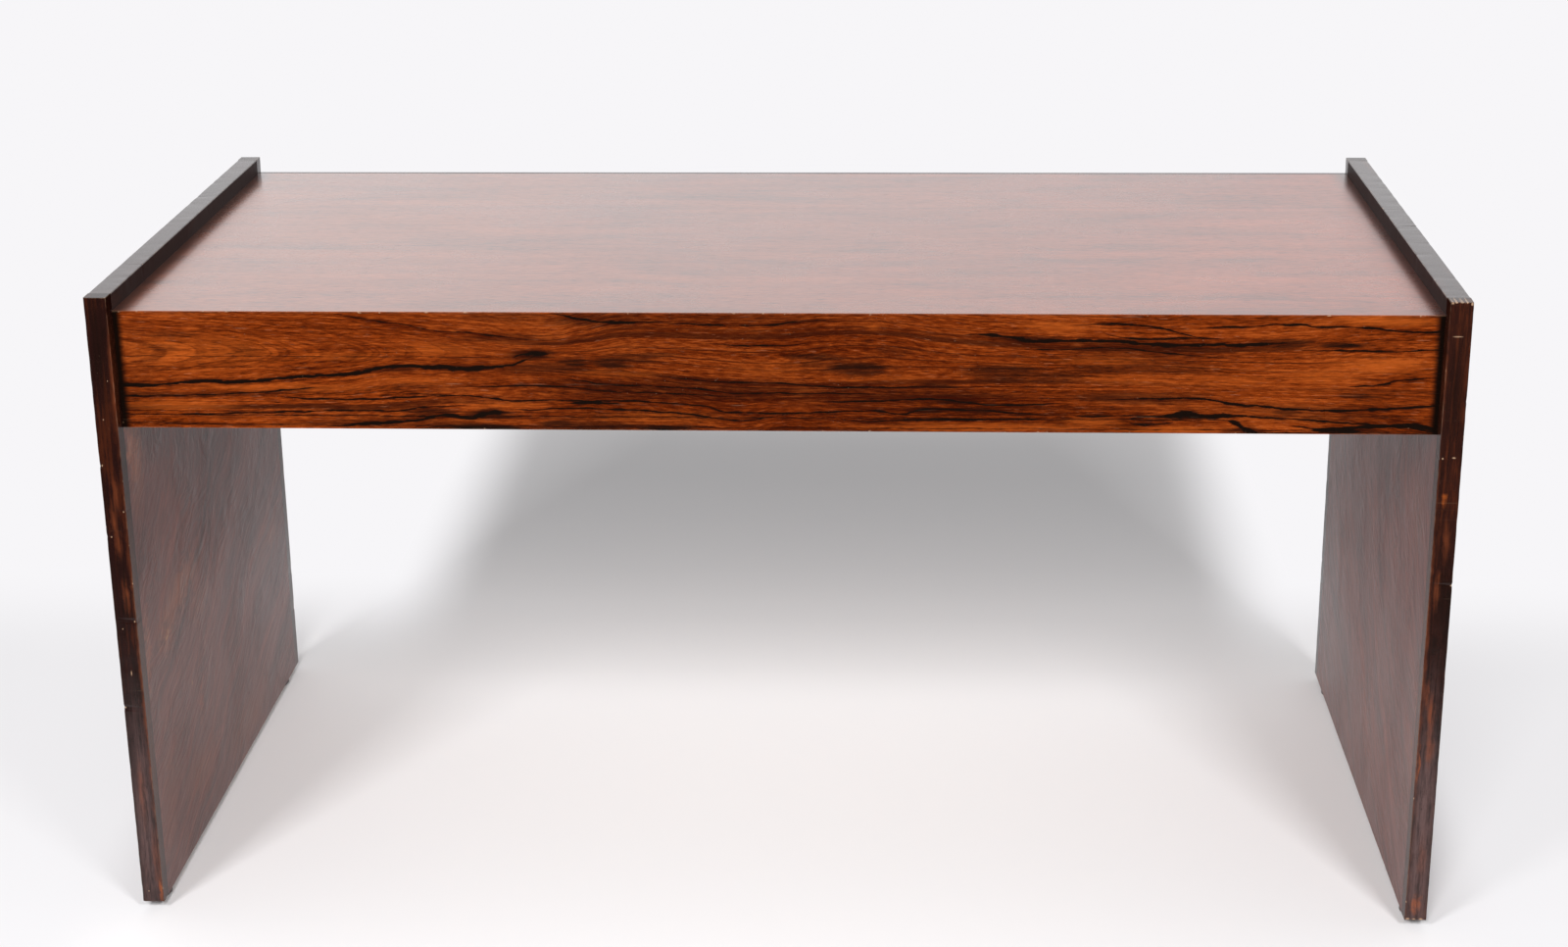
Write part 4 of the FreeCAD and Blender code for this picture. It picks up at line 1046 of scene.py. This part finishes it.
def makeWorld(look):
    world = bpy.data.worlds.new("studio")
    scene.world = world
    world.use_nodes = True
    tree = world.node_tree
    toBack = axes(signalOf(tree, "ShaderNodeTexCoord", output="Generated"))[1]
    level = spread(toBack, *look["turn"], *look["light"])
    toned = signalOf(tree, "ShaderNodeCombineColor", {0: level, 1: level, 2: level})
    path = place(tree, "ShaderNodeLightPath").outputs
    glossy, through, cameraRay = (Signal(tree, path["Is " + kind + " Ray"])
                                  for kind in ("Glossy", "Transmission", "Camera"))
    seen = larger(cameraRay, larger(glossy, through) * spread(toBack, *look["mirrored"]))
    fill(tree.nodes["Background"], {"Color": blendColour(seen, toned, look["backdrop"]), "Strength": 1.0})


makeFloor(floorLook)
makeWorld(worldLook)

softboxes = {
    "leftSoftbox": {"at": (-1.75, -2.8, 2.6), "aim": (0.0, 0.0, 0.5), "size": (0.7, 0.7), "watts": 66.0},
    "rightSoftbox": {"at": (1.55, -2.9, 2.6), "aim": (0.0, 0.0, 0.5), "size": (0.7, 0.7), "watts": 66.0},
    "frontSoftbox": {"at": (-0.35, -3.6, 2.25), "aim": (0.0, 0.0, 0.5), "size": (0.9, 0.7), "watts": 100.0},
    "backSoftbox": {"at": (0.0, 3.6, 1.75), "aim": (0.0, 0.0, 0.7), "size": (5.0, 2.2), "watts": 15.0},
}
for name, look in softboxes.items():
    lamp = bpy.data.lights.new(name, "AREA")
    lamp.shape = "RECTANGLE"
    lamp.size, lamp.size_y = look["size"]
    lamp.energy = look["watts"]
    holder = bpy.data.objects.new(name, lamp)
    scene.collection.objects.link(holder)
    holder.location = look["at"]
    aim = Vector(look["aim"]) - Vector(look["at"])
    holder.rotation_euler = aim.to_track_quat("-Z", "Y").to_euler()
    holder.visible_camera = False
    holder.visible_glossy = name == "backSoftbox"     # no hot spots on the polished top

# angles in degrees, lens and sensor in millimetres, the axis in rows of the frame
cameraLook = {"at": (0.151, -3.0093, 1.5027), "azimuth": -2.943, "pitch": 18.541, "roll": -0.613,
              "lens": 58.98, "sensor": 36.0, "axisRow": 432.5, "frame": (1600, 966)}


def makeCamera(look):
    azimuth, pitch, roll = (math.radians(look[key]) for key in ("azimuth", "pitch", "roll"))
    level = math.cos(pitch)
    ahead = Vector((math.sin(azimuth) * level, math.cos(azimuth) * level, -math.sin(pitch)))
    side = Vector((math.cos(azimuth), -math.sin(azimuth), 0.0))
    above = side.cross(ahead)
    across = side * math.cos(roll) + above * math.sin(roll)
    upward = above * math.cos(roll) - side * math.sin(roll)
    data = bpy.data.cameras.new("camera")
    data.sensor_fit = "HORIZONTAL"
    data.sensor_width = look["sensor"]
    data.lens = look["lens"]
    width, height = look["frame"]
    data.shift_y = (look["axisRow"] - height / 2.0) / width
    camera = bpy.data.objects.new("camera", data)
    scene.collection.objects.link(camera)
    turn = Matrix((across, upward, -ahead)).transposed()
    camera.matrix_world = Matrix.Translation(look["at"]) @ turn.to_4x4()
    scene.camera = camera


makeCamera(cameraLook)
print("floor, light and camera ready")
